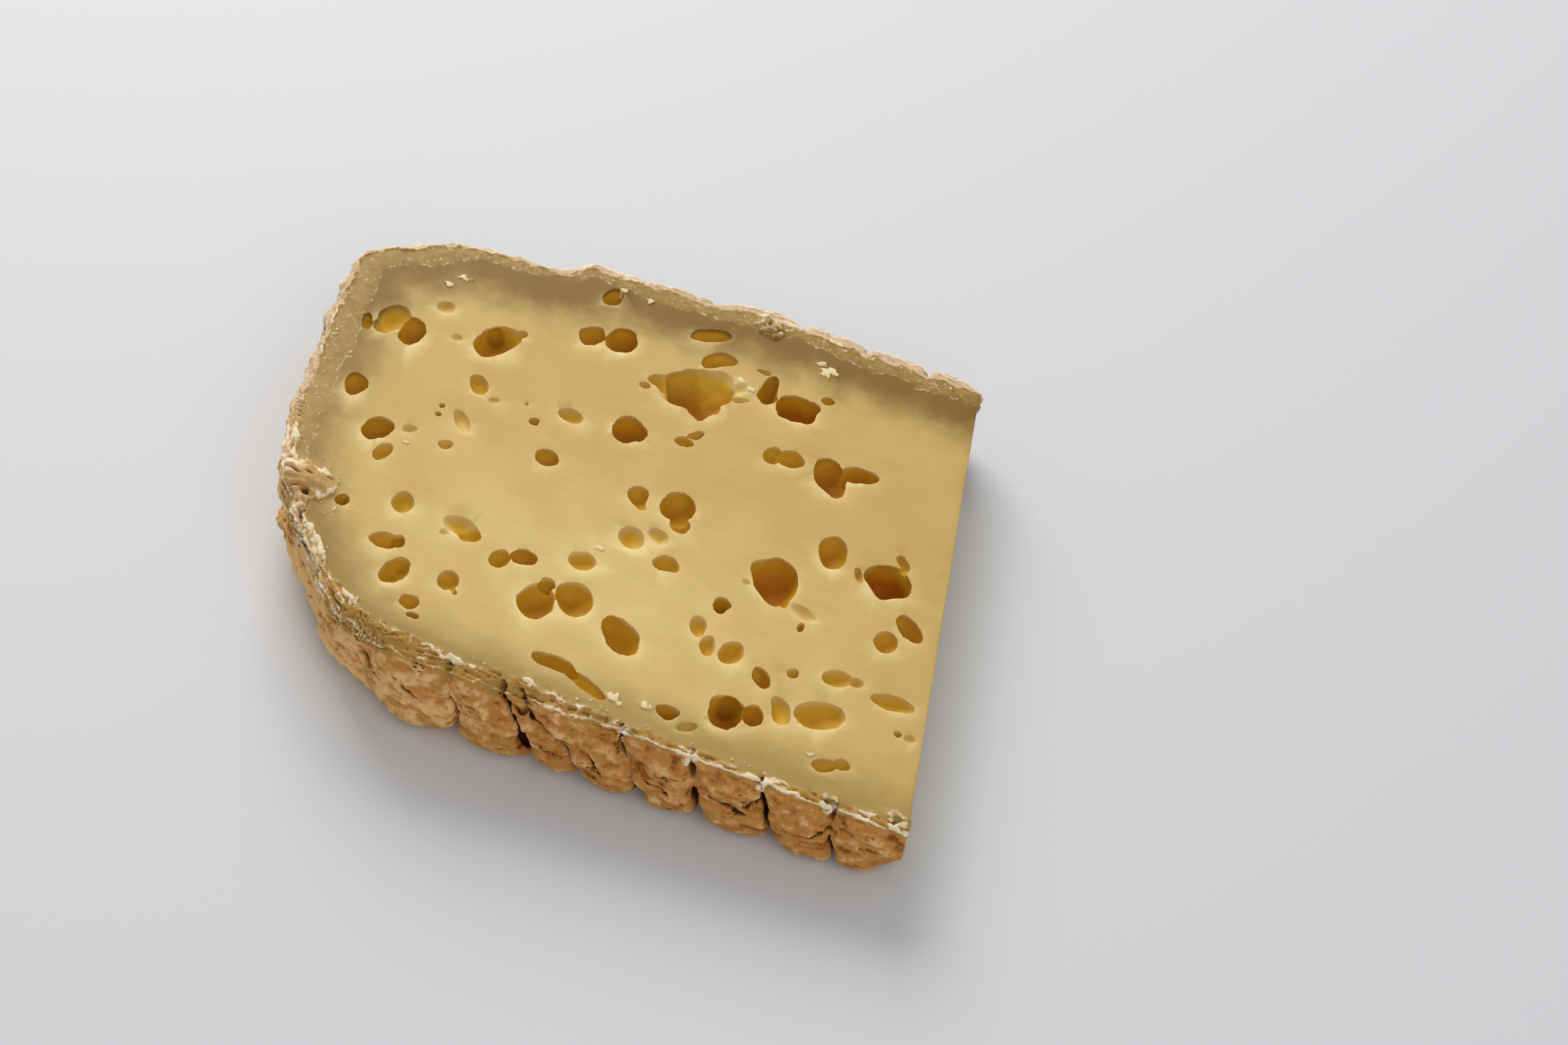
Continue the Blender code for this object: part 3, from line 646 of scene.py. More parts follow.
# Creases across the pillows of the near face, as paths of x and z
CREASES = (
    ((36.4, 11.2), (41.2, 9.9), (43.6, 9.2)), ((43.6, 11.4), (46.8, 13.8)),
    ((51.5, 8.8), (54.6, 8.0), (57.0, 8.7), (59.4, 11.4)), ((24.0, 9.6), (28.4, 8.4)),
    ((62.0, 9.6), (66.0, 8.6)), ((11.5, 12.5), (14.0, 9.5), (15.5, 6.0)), ((-15.5, 12.6), (-11.0, 14.0)),
    ((-27.0, 15.5), (-22.0, 12.0)), ((2.0, 9.0), (5.5, 7.5)), ((33.8, 7.2), (36.5, 5.6)),
    ((-5.0, 19.0), (0.2, 16.8), (4.6, 13.0), (7.6, 10.0), (10.4, 4.6)), ((-36.0, 14.5), (-31.5, 13.0)),
)

# Crumbs and torn bits left on the paste: x, y, size
CRUMBS = (
    (-1.0, -19.0, 0.7), (14.0, -52.0, 1.0), (20.0, -51.2, 0.9), (15.5, -53.0, 0.6), (-2.0, -55.0, 0.8),
    (52.0, -49.0, 0.5), (24.0, 48.5, 1.0), (-20.6, 49.8, 0.8), (-14.7, 49.6, 0.9), (-54.0, 34.8, 0.8),
    (-51.7, 37.9, 1.1), (26.0, 46.8, 1.5), (10.0, 36.5, 0.8), (13.0, 35.0, 0.7), (-45.0, -10.0, 0.5),
)
CRUMB_HEIGHT = 0.3
DRAGGED_HEIGHT = 0.22
SAW_WAVE_HEIGHT = 0.10
SAW_WAVE_PITCH = 24.0
SAW_RIPPLE_HEIGHT = 0.04
SAW_RIPPLE_PITCH = 7.0


def bumps(place, seed):
    """Smooth random bumps from about -1 to 1, one to each unit of the place."""
    cell = np.floor(place).astype(np.int64)
    part = place - cell
    fade = part**3 * (part * (part * 6 - 15) + 10)
    total = np.zeros(len(place))
    for corner in itertools.product((0, 1), repeat=3):
        corner = np.array(corner)
        grid = cell + corner
        mixed = grid[:, 0] * 73856093 ^ grid[:, 1] * 19349663 ^ grid[:, 2] * 83492791 ^ seed * 2654435
        mixed = (mixed ^ (mixed >> 13)) * 1274126177 & 0x7FFFFFFF
        mixed = (mixed ^ (mixed >> 15)) * 48271 & 0x7FFFFFFF
        turn = (mixed & 1023) / 1023 * math.tau
        rise = ((mixed >> 10) & 1023) / 511.5 - 1
        level = np.sqrt(1 - rise**2)
        slope = np.stack([level * np.cos(turn), level * np.sin(turn), rise], axis=1)
        weight = np.where(corner == 1, fade, 1 - fade).prod(axis=1)
        total += weight * ((part - corner) * slope).sum(axis=1)
    return total * 1.8


def rough(place, seed, octaves=3):
    """Bumps with finer ones on top."""
    return sum(bumps(place * 2**k, seed + k) / 2**k for k in range(octaves))


def eased(value, low, high):
    """0 below low and 1 above high, smoothly."""
    share = np.clip((value - low) / (high - low), 0, 1)
    return share * share * (3 - 2 * share)


def points_of(obj):
    """The mesh's points and their normals, as arrays."""
    count = len(obj.data.vertices)
    points = np.empty(count * 3, np.float32)
    normals = np.empty(count * 3, np.float32)
    obj.data.vertices.foreach_get("co", points)
    obj.data.vertices.foreach_get("normal", normals)
    return points.reshape(-1, 3).astype(float), normals.reshape(-1, 3).astype(float)


def set_points(obj, points):
    """Moves the mesh's points."""
    obj.data.vertices.foreach_set("co", points.astype(np.float32).ravel())
    obj.data.update()


def set_layer(obj, name, values):
    """Stores one number a point, for the material to read."""
    layer = obj.data.attributes.new(name, "FLOAT", "POINT")
    layer.data.foreach_set("value", values.astype(np.float32))


def along_rim(points):
    """For each point: distance round the rim, distance out of it, and the widths of skin and film."""
    stations = outline()
    line = np.array([station[:2] for station in stations])
    out = np.array([outward(stations, i)[:] for i in range(len(stations))])
    step = np.linalg.norm(line - np.roll(line, 1, axis=0), axis=1)
    run = np.cumsum(step)
    marks = [int(np.argmin(((line - mark[:2]) ** 2).sum(axis=1))) for mark in SKIN_OVERLAP]
    order = np.argsort(marks)
    at = np.array(marks)[order]
    widths = [np.interp(np.arange(len(line)), at, np.array(SKIN_OVERLAP)[order, row]) for row in (2, 3)]
    tree = kdtree.KDTree(len(line))
    for i, (x, y) in enumerate(line):
        tree.insert((x, y, 0.0), i)
    tree.balance()
    nearest = np.array([tree.find((x, y, 0.0))[1] for x, y in points[:, :2]])
    across = ((points[:, :2] - line[nearest]) * out[nearest]).sum(axis=1)
    return run[nearest], across, widths[0][nearest], widths[1][nearest]


def furrow_gap(points):
    """Distance along the rim from each point to its face's nearest furrow, and its share of the depth."""
    height = np.clip(points[:, 2] / upper_face(points[:, 0]), 0, 1)
    gap = np.full(len(points), FAR_OFF)
    deep = np.zeros(len(points))
    ups = np.linspace(0, 1, PROFILE_RINGS)
    for (x, share, leans), rim in itertools.product(FURROWS, (near_face, far_face)):
        y = rim(x)
        line = [x + np.interp(up, LEAN_LEVELS, leans) + furrow_wander(x, y, up) for up in ups]
        off = np.abs(points[:, 0] - np.interp(height, ups, line))
        nearer = (points[:, 1] * y > 0) & (off < gap)
        gap = np.where(nearer, off, gap)
        deep = np.where(nearer, share, deep)
    on_heel = points[:, 0] < np.where(points[:, 1] < 0, HEEL_START_X, FAR_RIM[1][0])
    return np.where(on_heel, FAR_OFF, gap), deep


def turned_places(x, y, middle_x, middle_y, turn):
    """Places along and beside a line through a middle, at a turn in degrees."""
    turned = math.radians(turn)
    along = (x - middle_x) * math.cos(turned) + (y - middle_y) * math.sin(turned)
    beside = (y - middle_y) * math.cos(turned) - (x - middle_x) * math.sin(turned)
    return along, beside


def path_gap(across, up, path):
    """Distance in a plane from each point to a path of straight pieces."""
    gap = np.full(len(across), FAR_OFF)
    for (x0, z0), (x1, z1) in zip(path, path[1:]):
        length = math.hypot(x1 - x0, z1 - z0)
        share = ((across - x0) * (x1 - x0) + (up - z0) * (z1 - z0)) / length**2
        share = np.clip(share, 0, 1)
        off = np.hypot(across - x0 - share * (x1 - x0), up - z0 - share * (z1 - z0))
        gap = np.minimum(gap, off)
    return gap


def skin_over(obj, net):
    """Replaces the mesh by one even net over the same shape."""
    skin = obj.modifiers.new("net", "REMESH")
    skin.mode = "VOXEL"
    skin.voxel_size = net
    select_only(obj)
    bpy.ops.object.modifier_apply(modifier="net")
    even = obj.modifiers.new("even", "SMOOTH")
    even.factor = 0.5
    even.iterations = 1
    bpy.ops.object.modifier_apply(modifier="even")


skin_over(slab, SKIN_NET)
points, normals = points_of(slab)
run, across, skin_width, film_width = along_rim(points)
x, y, z = points.T
top = upper_face(x)
height = z / top
to_cut = cut_x(y) - x

# The saw leaves the lips of the eyes sharp, so the net's rounding is drawn back to the cut
drop = np.interp(x, [row[0] for row in ROLL_DROP], [row[1] for row in ROLL_DROP])
drop = np.where(y < 0, drop, FAR_ROLL_DROP) * np.clip(1 + across / ROLL_RINGS[-1], 0, 1) ** 2
sunk = np.clip(top - drop - z, 0, EYE_LIP_ROUNDING)
by_lip = (normals[:, 2] > 0.3) & (across < -2.5) & (to_cut > 1.0) & (sunk < EYE_LIP_ROUNDING)
points[:, 2] = np.where(by_lip, top - drop - EYE_LIP_ROUNDING * (sunk / EYE_LIP_ROUNDING) ** 3, z)
x, y, z = points.T
gap, deep = furrow_gap(points)
on_upper_face = eased(normals[:, 2], 0.5, 0.9) * eased(z, top - 2.6, top - 1.6)
on_under_face = eased(-normals[:, 2], 0.5, 0.9) * eased(-z, -1.0, -0.3)
near_side = y < 0
heel = eased(-x, -HEEL_START_X - 6, -HEEL_START_X + 10) * eased(60 - y, 4, 20)

# Where the skin ends: it wanders, and at the heel a fold of it has flopped over
wander = SKIN_EDGE_WANDER * rough(points / 4.0, 31) + SKIN_EDGE_RAG * bumps(points / 1.3, 35)
skin_width = np.where(z > top * 0.5, skin_width, UNDER_SKIN_OVERLAP)
skin_edge = across + skin_width + wander * np.clip(skin_width / 2, 0.35, 1.5)
flap_x, flap_y, flap_half_length, flap_half_width, flap_turn = FLAP
along, beside = turned_places(x, y, flap_x, flap_y, flap_turn)
flap_edge = 3.0 * (1 - np.hypot(along / flap_half_length, beside / flap_half_width)) + 0.8 * wander
skin_edge = np.maximum(skin_edge, np.where(z > top * 0.5, flap_edge, -9.0))
in_skin = eased(skin_edge, -0.25, 0.25)
flap_pit = np.hypot(x - FLAP_PIT[0], (y - FLAP_PIT[1]) * 1.5) + 0.5 * bumps(points / 1.2, 37)
flap_pit = np.exp(-((flap_pit / FLAP_PIT_RADIUS) ** 2)) * on_upper_face

# The rind's wall, and the folds and wrinkles that run round it and over its edge
wall = eased(across, -4.6, -2.6) * (1 - on_upper_face) * (1 - on_under_face)
over = across + np.maximum(top - z, 0) * (z > top * 0.3)
flow = np.stack([run / 12.0, over / 2.8 + 0.7 * bumps(points / 6.0, 3), run * 0], axis=1)
fold_lines = np.clip(1 - np.abs(bumps(flow, 41)) * 2.6, -0.5, 1)
slant = np.stack([run / 3.4 + z / 5.0, z / 1.5, across / 4], axis=1)
wrinkles = np.clip(1 - np.abs(bumps(slant, 45)) * 2.6, -0.5, 1)
lumps = rough(points / 4.0, 51)
fine = rough(points / 1.5, 55, 2)

# Its cracks, the creases across its pillows and the grooves of its furrows
streaks = np.stack([run / 3.2 + 0.4 * bumps(points / 2.0, 63), z / 1.1, across / 3], axis=1)
crack_noise = np.abs(rough(streaks, 61, 2))
cracks = (1 - eased(crack_noise, 0.02, 0.14)) * eased(bumps(points / 5.0, 65), 0.1, 0.5) * wall
creases = np.zeros(len(points))
ragged = 0.5 * bumps(points / 1.6, 67)
for path in CREASES:
    off = path_gap(x, z + ragged, path)
    creases = np.maximum(creases, np.exp(-((off / CREASE_WIDTH) ** 2)) * eased(ragged, -0.45, 0.1))
creases *= wall * near_side
deep *= np.where(near_side, 1.0, 0.45)
groove = deep * np.exp(-((gap / GROOVE_WIDTH) ** 2)) * wall * eased(-across, -0.6, 0.8)

# The zone along the rim where the skin is crumpled, broader at the heel and over the left of the near face
rim_zone = in_skin * on_upper_face + (1 - on_upper_face) * wall * (z > top * 0.6)
broad_rim = eased(x, -54, -42) * (1 - eased(x, 4, 18)) * near_side
rim_reach = 0.9 + 1.6 * heel + 1.5 * broad_rim
rim_zone *= 1 - eased(over, rim_reach, rim_reach + 1.7 + 1.8 * heel)
rim_zone *= 1 - eased(top - z, 2.0, 3.6) * (gap < 2.0)

# Its ridges: they run round the slab, lie calmer towards the far side, and turn to strands on the flap
calm = eased(y, -16, 2)
stretch = 3.4 + 3.0 * heel * (1 - calm)
curled = np.stack([run / stretch, over / 1.25 + 0.5 * bumps(points / 2.6, 73), run * 0], axis=1)
ridges = np.clip(1 - np.abs(rough(curled, 71, 2)) * 2.4, -0.6, 1)
strands = np.stack([along / 6.0, beside / 1.4 + 0.5 * bumps(points / 3.0, 101), along * 0], axis=1)
strands = np.clip(1 - np.abs(bumps(strands, 103)) * 3.0, -0.8, 1)
ridges += (strands - ridges) * eased(flap_edge, 0.0, 0.7) * on_upper_face
ridges *= 1 - 0.35 * calm
patchy = eased(bumps(points / 5.0, 69), -0.3, 0.35)

# How far all of it pushes each point out
push = np.zeros(len(points))
push += wall * (LUMP_HEIGHT * lumps + GRAIN_HEIGHT * fine)
push += wall * (1 - heel) * WRINKLE_HEIGHT * wrinkles
push += wall * heel * (HEEL_FOLD_HEIGHT * fold_lines - HEEL_SUNK)
push -= CRACK_DEPTH * cracks + CREASE_DEPTH * creases + GROOVE_DEPTH * groove
ridge_height = RIDGE_HEIGHT + RIDGE_HEIGHT_MORE_AT_HEEL * heel
push += rim_zone * (ridge_height * ridges - RIDGES_SUNK + GRAIN_HEIGHT * fine)
fold = np.exp(-(((beside - FLAP_FOLD_AT) / FLAP_FOLD_WIDTH) ** 2))
fold = fold * eased(flap_edge, 0.0, 1.2) * on_upper_face
push += (
    np.clip(flap_edge / 1.5, 0, 1) * on_upper_face * FLAP_THICKNESS + FLAP_FOLD_HEIGHT * fold
    - FLAP_PIT_DEPTH * flap_pit
)

# The pale lip along the outer edge of the skin, and the curls it makes where furrows meet it
lip_at = 0.7 + 1.6 * broad_rim - (0.5 + 0.7 * broad_rim) * bumps(points / 3.0, 75)
lip = np.exp(-(((over - lip_at) / LIP_WIDTH) ** 2)) * rim_zone
inner_lip = np.exp(-(((skin_edge - INNER_LIP_AT) / INNER_LIP_WIDTH) ** 2))
inner_lip = inner_lip * on_upper_face * eased(-across, -1.0, 0.0)
push += LIP_HEIGHT * lip + INNER_LIP_HEIGHT * inner_lip * patchy
curls = np.zeros(len(points))
curl_cores = np.zeros(len(points))
for curl_x, curl_y, size in CURLS:
    ring = np.hypot(x - curl_x, y - curl_y) / size + 0.5 * bumps(points / 1.3, 77)
    curls = np.maximum(curls, (1 - eased(ring, 0.8, 1.6)) * (0.3 + 0.7 * eased(ring, 0.3, 0.7)))
    curl_cores = np.maximum(curl_cores, np.exp(-((ring / 0.5) ** 2)))
near_top = eased(z, top - 4.0, top - 2.5)
push += near_top * (CURL_HEIGHT * curls * (0.7 + 0.6 * ridges) - CURL_CORE_DEPTH * curl_cores)

# The curled knot at the far rim, with the small holes in it
ring = np.hypot((x - KNOT[0]) / KNOT_LENGTHENED, y - KNOT[1]) + 0.9 * bumps(points / 1.9, 79)
knot = (1 - eased(ring, 1.9, 3.0)) * on_upper_face
holes = eased(bumps(points / 1.2, 81), 0.1, 0.4) * np.exp(-((ring / 2.0) ** 4)) * on_upper_face
push += KNOT_HEIGHT * knot - KNOT_HOLE_DEPTH * holes

# The paste's cut: slow waves, and crumbs that the saw has dragged over it
wave = SAW_WAVE_HEIGHT * bumps(points / SAW_WAVE_PITCH, 91)
wave = wave + SAW_RIPPLE_HEIGHT * bumps(points / SAW_RIPPLE_PITCH, 95)
push += on_upper_face * (1 - in_skin) * wave
dragged = eased(rough(points / 0.9, 97, 2), 0.62, 0.85) * eased(skin_edge, -3.5, -0.3) * (1 - in_skin)
crumbs = np.zeros(len(points))
for crumb_x, crumb_y, size in CRUMBS:
    far = np.hypot((x - crumb_x) / 1.4, y - crumb_y) + 0.7 * size * bumps(points / 0.9, 99)
    crumbs = np.maximum(crumbs, 1 - eased(far, size * 0.5, size))
push += on_upper_face * (DRAGGED_HEIGHT * dragged + CRUMB_HEIGHT * crumbs)
points = points + normals * push[:, None]
points[:, 2] = np.maximum(points[:, 2], 0.0)

# How deep each point lies in an eye: of the upper face, of the underside and of the narrow cut. The finish
# paints the eyes amber and darker with depth: painted shade, with the glow of light bouncing inside them
eye_depth = np.clip((top - z) / 6.0, 0, 1) * (across < -3.4) * (to_cut > 1.5)
eye_depth = np.where((normals[:, 2] < 0.97) | (top - z > 0.6), eye_depth, 0.0)
under_eye = np.clip(z / 5.0, 0, 1) * (across < -6.0) * (z < top * 0.45) * (to_cut > 1.5)
eye_depth = np.where(z < top * 0.45, np.maximum(under_eye, 0), eye_depth)
cut_eye = np.clip(to_cut / 3.0, 0, 1) * (to_cut < 4) * (across < -4) * (np.abs(height - 0.5) < 0.35)
eye_depth = np.maximum(eye_depth, np.where((to_cut < 4) & (to_cut > 0.3), cut_eye, 0))

# Painted shade where the rind is dark: in furrows, folds, creases, holes and between ridges, together with
# the rind's own dark cracks
furrow_shade = deep * np.exp(-((gap / 0.7) ** 2)) * wall * eased(-across, -0.9, 0.9)
fold_shade = eased(-fold_lines, -0.05, 0.45) * heel * wall
valleys = eased(-ridges, -0.1, 0.45) * rim_zone
shade = furrow_shade + cracks * 0.75 + creases + holes + flap_pit + 0.7 * curl_cores * near_top
shade = np.clip(shade + 0.35 * fold_shade + (0.45 + 0.2 * heel) * (1 - 0.5 * calm) * valleys, 0, 1)
shade *= across > -12.5

# Its relief, from hollows to crests, which the finish paints darker in the hollows and paler on the crests,
# as painted shade and light over the rind's own browns and bloom; and painted light that makes it paler
# towards the heel
painted_heel_light = eased(-x, -12, 44) * 0.55 * np.where(near_side, 1.0, 0.5)
relief = 0.6 * lumps + 0.25 * fine + 0.6 * heel * fold_lines * wall + 0.3 * wrinkles * wall + painted_heel_light
relief = np.clip(relief + 0.5 * ridges * rim_zone, -1, 1.4)

# The film on the paste inside the skin, and the pale bloom of lips, ridge tips, curls, crumbs and flecks;
# the ridge tips are made paler on the heel and the far side as painted light
film_edge = across + film_width
flecks = eased(rough(points / 1.6, 93, 2), 0.55, 0.8) * eased(film_edge, -0.5, 1.5)
flecks *= (1 - in_skin) * on_upper_face * eased(film_width, 0.5, 3.0)
# Painted light: the heel and the far side, which face the light, are painted paler
painted_light_side = np.clip(heel + ~near_side, 0, 1)
tips = eased(ridges, 0.35, 0.95) * rim_zone * (0.35 + 0.65 * patchy) * (1 - 0.3 * calm)
bloom = lip * (0.75 + 0.25 * patchy) * (1 - 0.35 * broad_rim) + tips * (0.5 + 0.5 * painted_light_side)
bloom += inner_lip * (0.7 * patchy + 0.5 * broad_rim * eased(bumps(points / 2.2, 107), -0.25, 0.15))
bloom += curls * near_top * (0.55 + 0.5 * ridges) + 0.5 * knot * (0.6 + ridges)
bloom = np.clip(bloom + dragged + crumbs + 0.6 * flecks, 0, 1)

# Ochre stains on the wall and along the near rim, and grey skin round the rest, made paler on the heel and
# the far side as painted light
ochre_band = eased(x, -46, -34) * near_side * rim_zone * (1 - 0.4 * patchy)
stains = 0.7 * eased(rough(points / 5.0, 85), 0.25, 0.7) * wall
heel_band = 0.6 * heel * (1 - calm) * rim_zone * (1 - 0.6 * patchy)
ochre = np.clip(ochre_band + heel_band + stains, 0, 1)
grey_skin_and_painted_light = rim_zone * (0.25 + painted_light_side * (0.45 + 0.35 * calm)) * (1 - 0.6 * broad_rim)
grey_skin_and_painted_light = np.clip(grey_skin_and_painted_light + 0.4 * wall * ~near_side, 0, 1)

# The paste: how far it has aged inwards from the rim, darker further along the far and left sides as painted
# shade, and a painted pool of light, brightest towards the near middle of the face
far_share = eased(y, -40, 30)
fresh = (-across - 3.0 - 5.0 * far_share) / (10.0 + 3.0 * far_share)
ageing_and_far_shade = 0.42 + 0.58 * np.maximum(far_share, 0.65 * eased(-x, 25, 60))
painted_light_pool = np.exp(-(((x - 8.0) / 48.0) ** 2) - ((y + 30.0) / 24.0) ** 2)
painted_light_pool = np.clip(painted_light_pool + 0.25 * bumps(points / 12.0, 83), 0, 1)

# Painted glow and highlight at the lips of the eyes, strongest on their near side, where light comes through
# the paste and catches the rounded lip
painted_lip_glow = np.zeros(len(points))
upper_eyes = (*LARGE_EYES, *TORN_HOLLOW, *SMALL_EYES, *FINE_EYES)
for eye_x, eye_y, half_length, half_width, turn, depth in upper_eyes:
    along, beside = turned_places(x, y, eye_x, eye_y, turn)
    ring = np.hypot(along / half_length, beside / half_width)
    off = (ring - 1) * half_width
    nearer = 0.6 - 0.45 * (y - eye_y) / np.maximum(np.hypot(x - eye_x, y - eye_y), 0.1)
    painted_lip_glow = np.maximum(painted_lip_glow, np.exp(-np.maximum(off, 0) / 1.6) * nearer * min(1.0, half_width / 2.6))
painted_lip_glow *= on_upper_face * (1 - in_skin)

# The side is skin down to its foot, which lies further in than the rim does
foot = (z < 0.45 * top) & (normals[:, 2] > -0.75) & (across > np.where(to_cut < CORNER_RUN, -12.0, -6.5))
side = (across > -0.6) | foot & (to_cut > 0.5)

# Eyes are warmer towards the cut
warmth = eased(x, 0, 45)

# The walls of the pockets behind the eyes, which are in their own shade
pocket = np.zeros(len(points))
for pocket_x, pocket_y, down, radius in POCKETS:
    middle = np.array((pocket_x, pocket_y, upper_face(pocket_x) - down))
    off = np.linalg.norm(points - middle, axis=1) / radius
    pocket = np.maximum(pocket, 0.9 * eased(-off, -1.35, -1.1) * np.clip(eye_depth, 0, 1))

set_points(slab, points)
for name, values in (
    ("skin_edge", np.where(side, 3.0, np.clip(skin_edge, -3, 3))), ("shade", shade), ("warmth", warmth),
    ("relief", relief), ("bloom", bloom), ("ochre", ochre), ("eye_depth", eye_depth), ("ageing_and_far_shade", ageing_and_far_shade),
    ("fresh", np.clip(fresh, -1, 2)), ("film_edge", np.clip(film_edge, -9, 9)), ("grey_skin_and_painted_light", grey_skin_and_painted_light),
    ("painted_lip_glow", painted_lip_glow), ("painted_light_pool", painted_light_pool), ("pocket", pocket),
):
    set_layer(slab, name, values)

triangles = 2 * len(slab.data.polygons)
if triangles > MOST_TRIANGLES:
    thinned = slab.modifiers.new("thinned", "DECIMATE")
    thinned.ratio = MOST_TRIANGLES / triangles
    select_only(slab)
    bpy.ops.object.modifier_apply(modifier="thinned")
points, normals = points_of(slab)
points = (points + np.array(OVER_ORIGIN)) * MM
lowest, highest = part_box("cheese_slab")
points = np.clip(points, np.array(lowest), np.array(highest))
set_points(slab, points)
select_only(slab)
bpy.ops.object.shade_smooth()
mesh = bmesh.new()
mesh.from_mesh(slab.data)
skin_layer = mesh.verts.layers.float["skin_edge"]
for edge in mesh.edges:
    on_paste = all(vertex[skin_layer] < CLEAR_OF_SKIN for vertex in edge.verts)
    edge.smooth = not on_paste or edge.calc_face_angle(0.0) < EYE_LIP_ANGLE
mesh.to_mesh(slab.data)
mesh.free()

# ---------------------------------------------------------------------------------------------------
# The finish: pale waxy paste that browns under the rind and lets a little light through, with painted shade
# along its far side and a painted pool of light; eyes painted amber and darker with depth as painted shade
# and glow; and dry ochre rind with dark cracks, painted shade in its furrows and hollows, painted light on
# its crests and paler sides, and a whitish bloom on its ridges.
# ---------------------------------------------------------------------------------------------------

# Colours as on a paint chart: red, green and blue from 0 to 255
PASTE = (210, 177, 106)
# Painted light: the paste inside its painted pool of light
LIT_PASTE = (231, 201, 132)
SHADED_PASTE = (198, 162, 92)
SAW_MARKS = (176, 140, 76)
# Aged paste, also used as painted shade along the far and left sides
AGED_AND_SHADED_PASTE = (136, 102, 44)
FILM = (179, 145, 80)
FILM_FLAKES = (232, 210, 170)
# Painted glow and highlight at the eyes' lips
EYE_LIP_GLOW = (248, 222, 158)
# Painted shade and glow inside the eyes, by depth, and darkest on the pockets' walls
SHALLOW_EYE_SHADE = (212, 163, 40)
DEEP_EYE_SHADE = (178, 114, 6)
DEEP_EYE_SHADE_AT_CUT = (180, 100, 6)
POCKET_SHADE = (104, 48, 10)
# The rind, darkened as painted shade for the near wall, from painted shade in hollows to painted light on
# crests
SHADED_RIND_HOLLOWS = (144, 82, 30)
SHADED_RIND = (204, 140, 70)
LIT_RIND_CRESTS = (240, 194, 132)
# Grey skin, also painted light on the heel and the far side
LIT_GREY_RIND = (218, 190, 154)
OCHRE_RIND = (188, 144, 74)
# Dark cracks, and painted shade in furrows, folds, creases and holes
CRACKS_AND_SHADE = (76, 36, 12)
RIND_BLOOM = (252, 232, 196)
PASTE_BLOOM = (240, 218, 172)


def from_swatch(swatch):
    """A paint chart's colour as light."""
    shares = [value / 255 for value in swatch]
    return (*[s / 12.92 if s <= 0.04045 else ((s + 0.055) / 1.055) ** 2.4 for s in shares], 1.0)


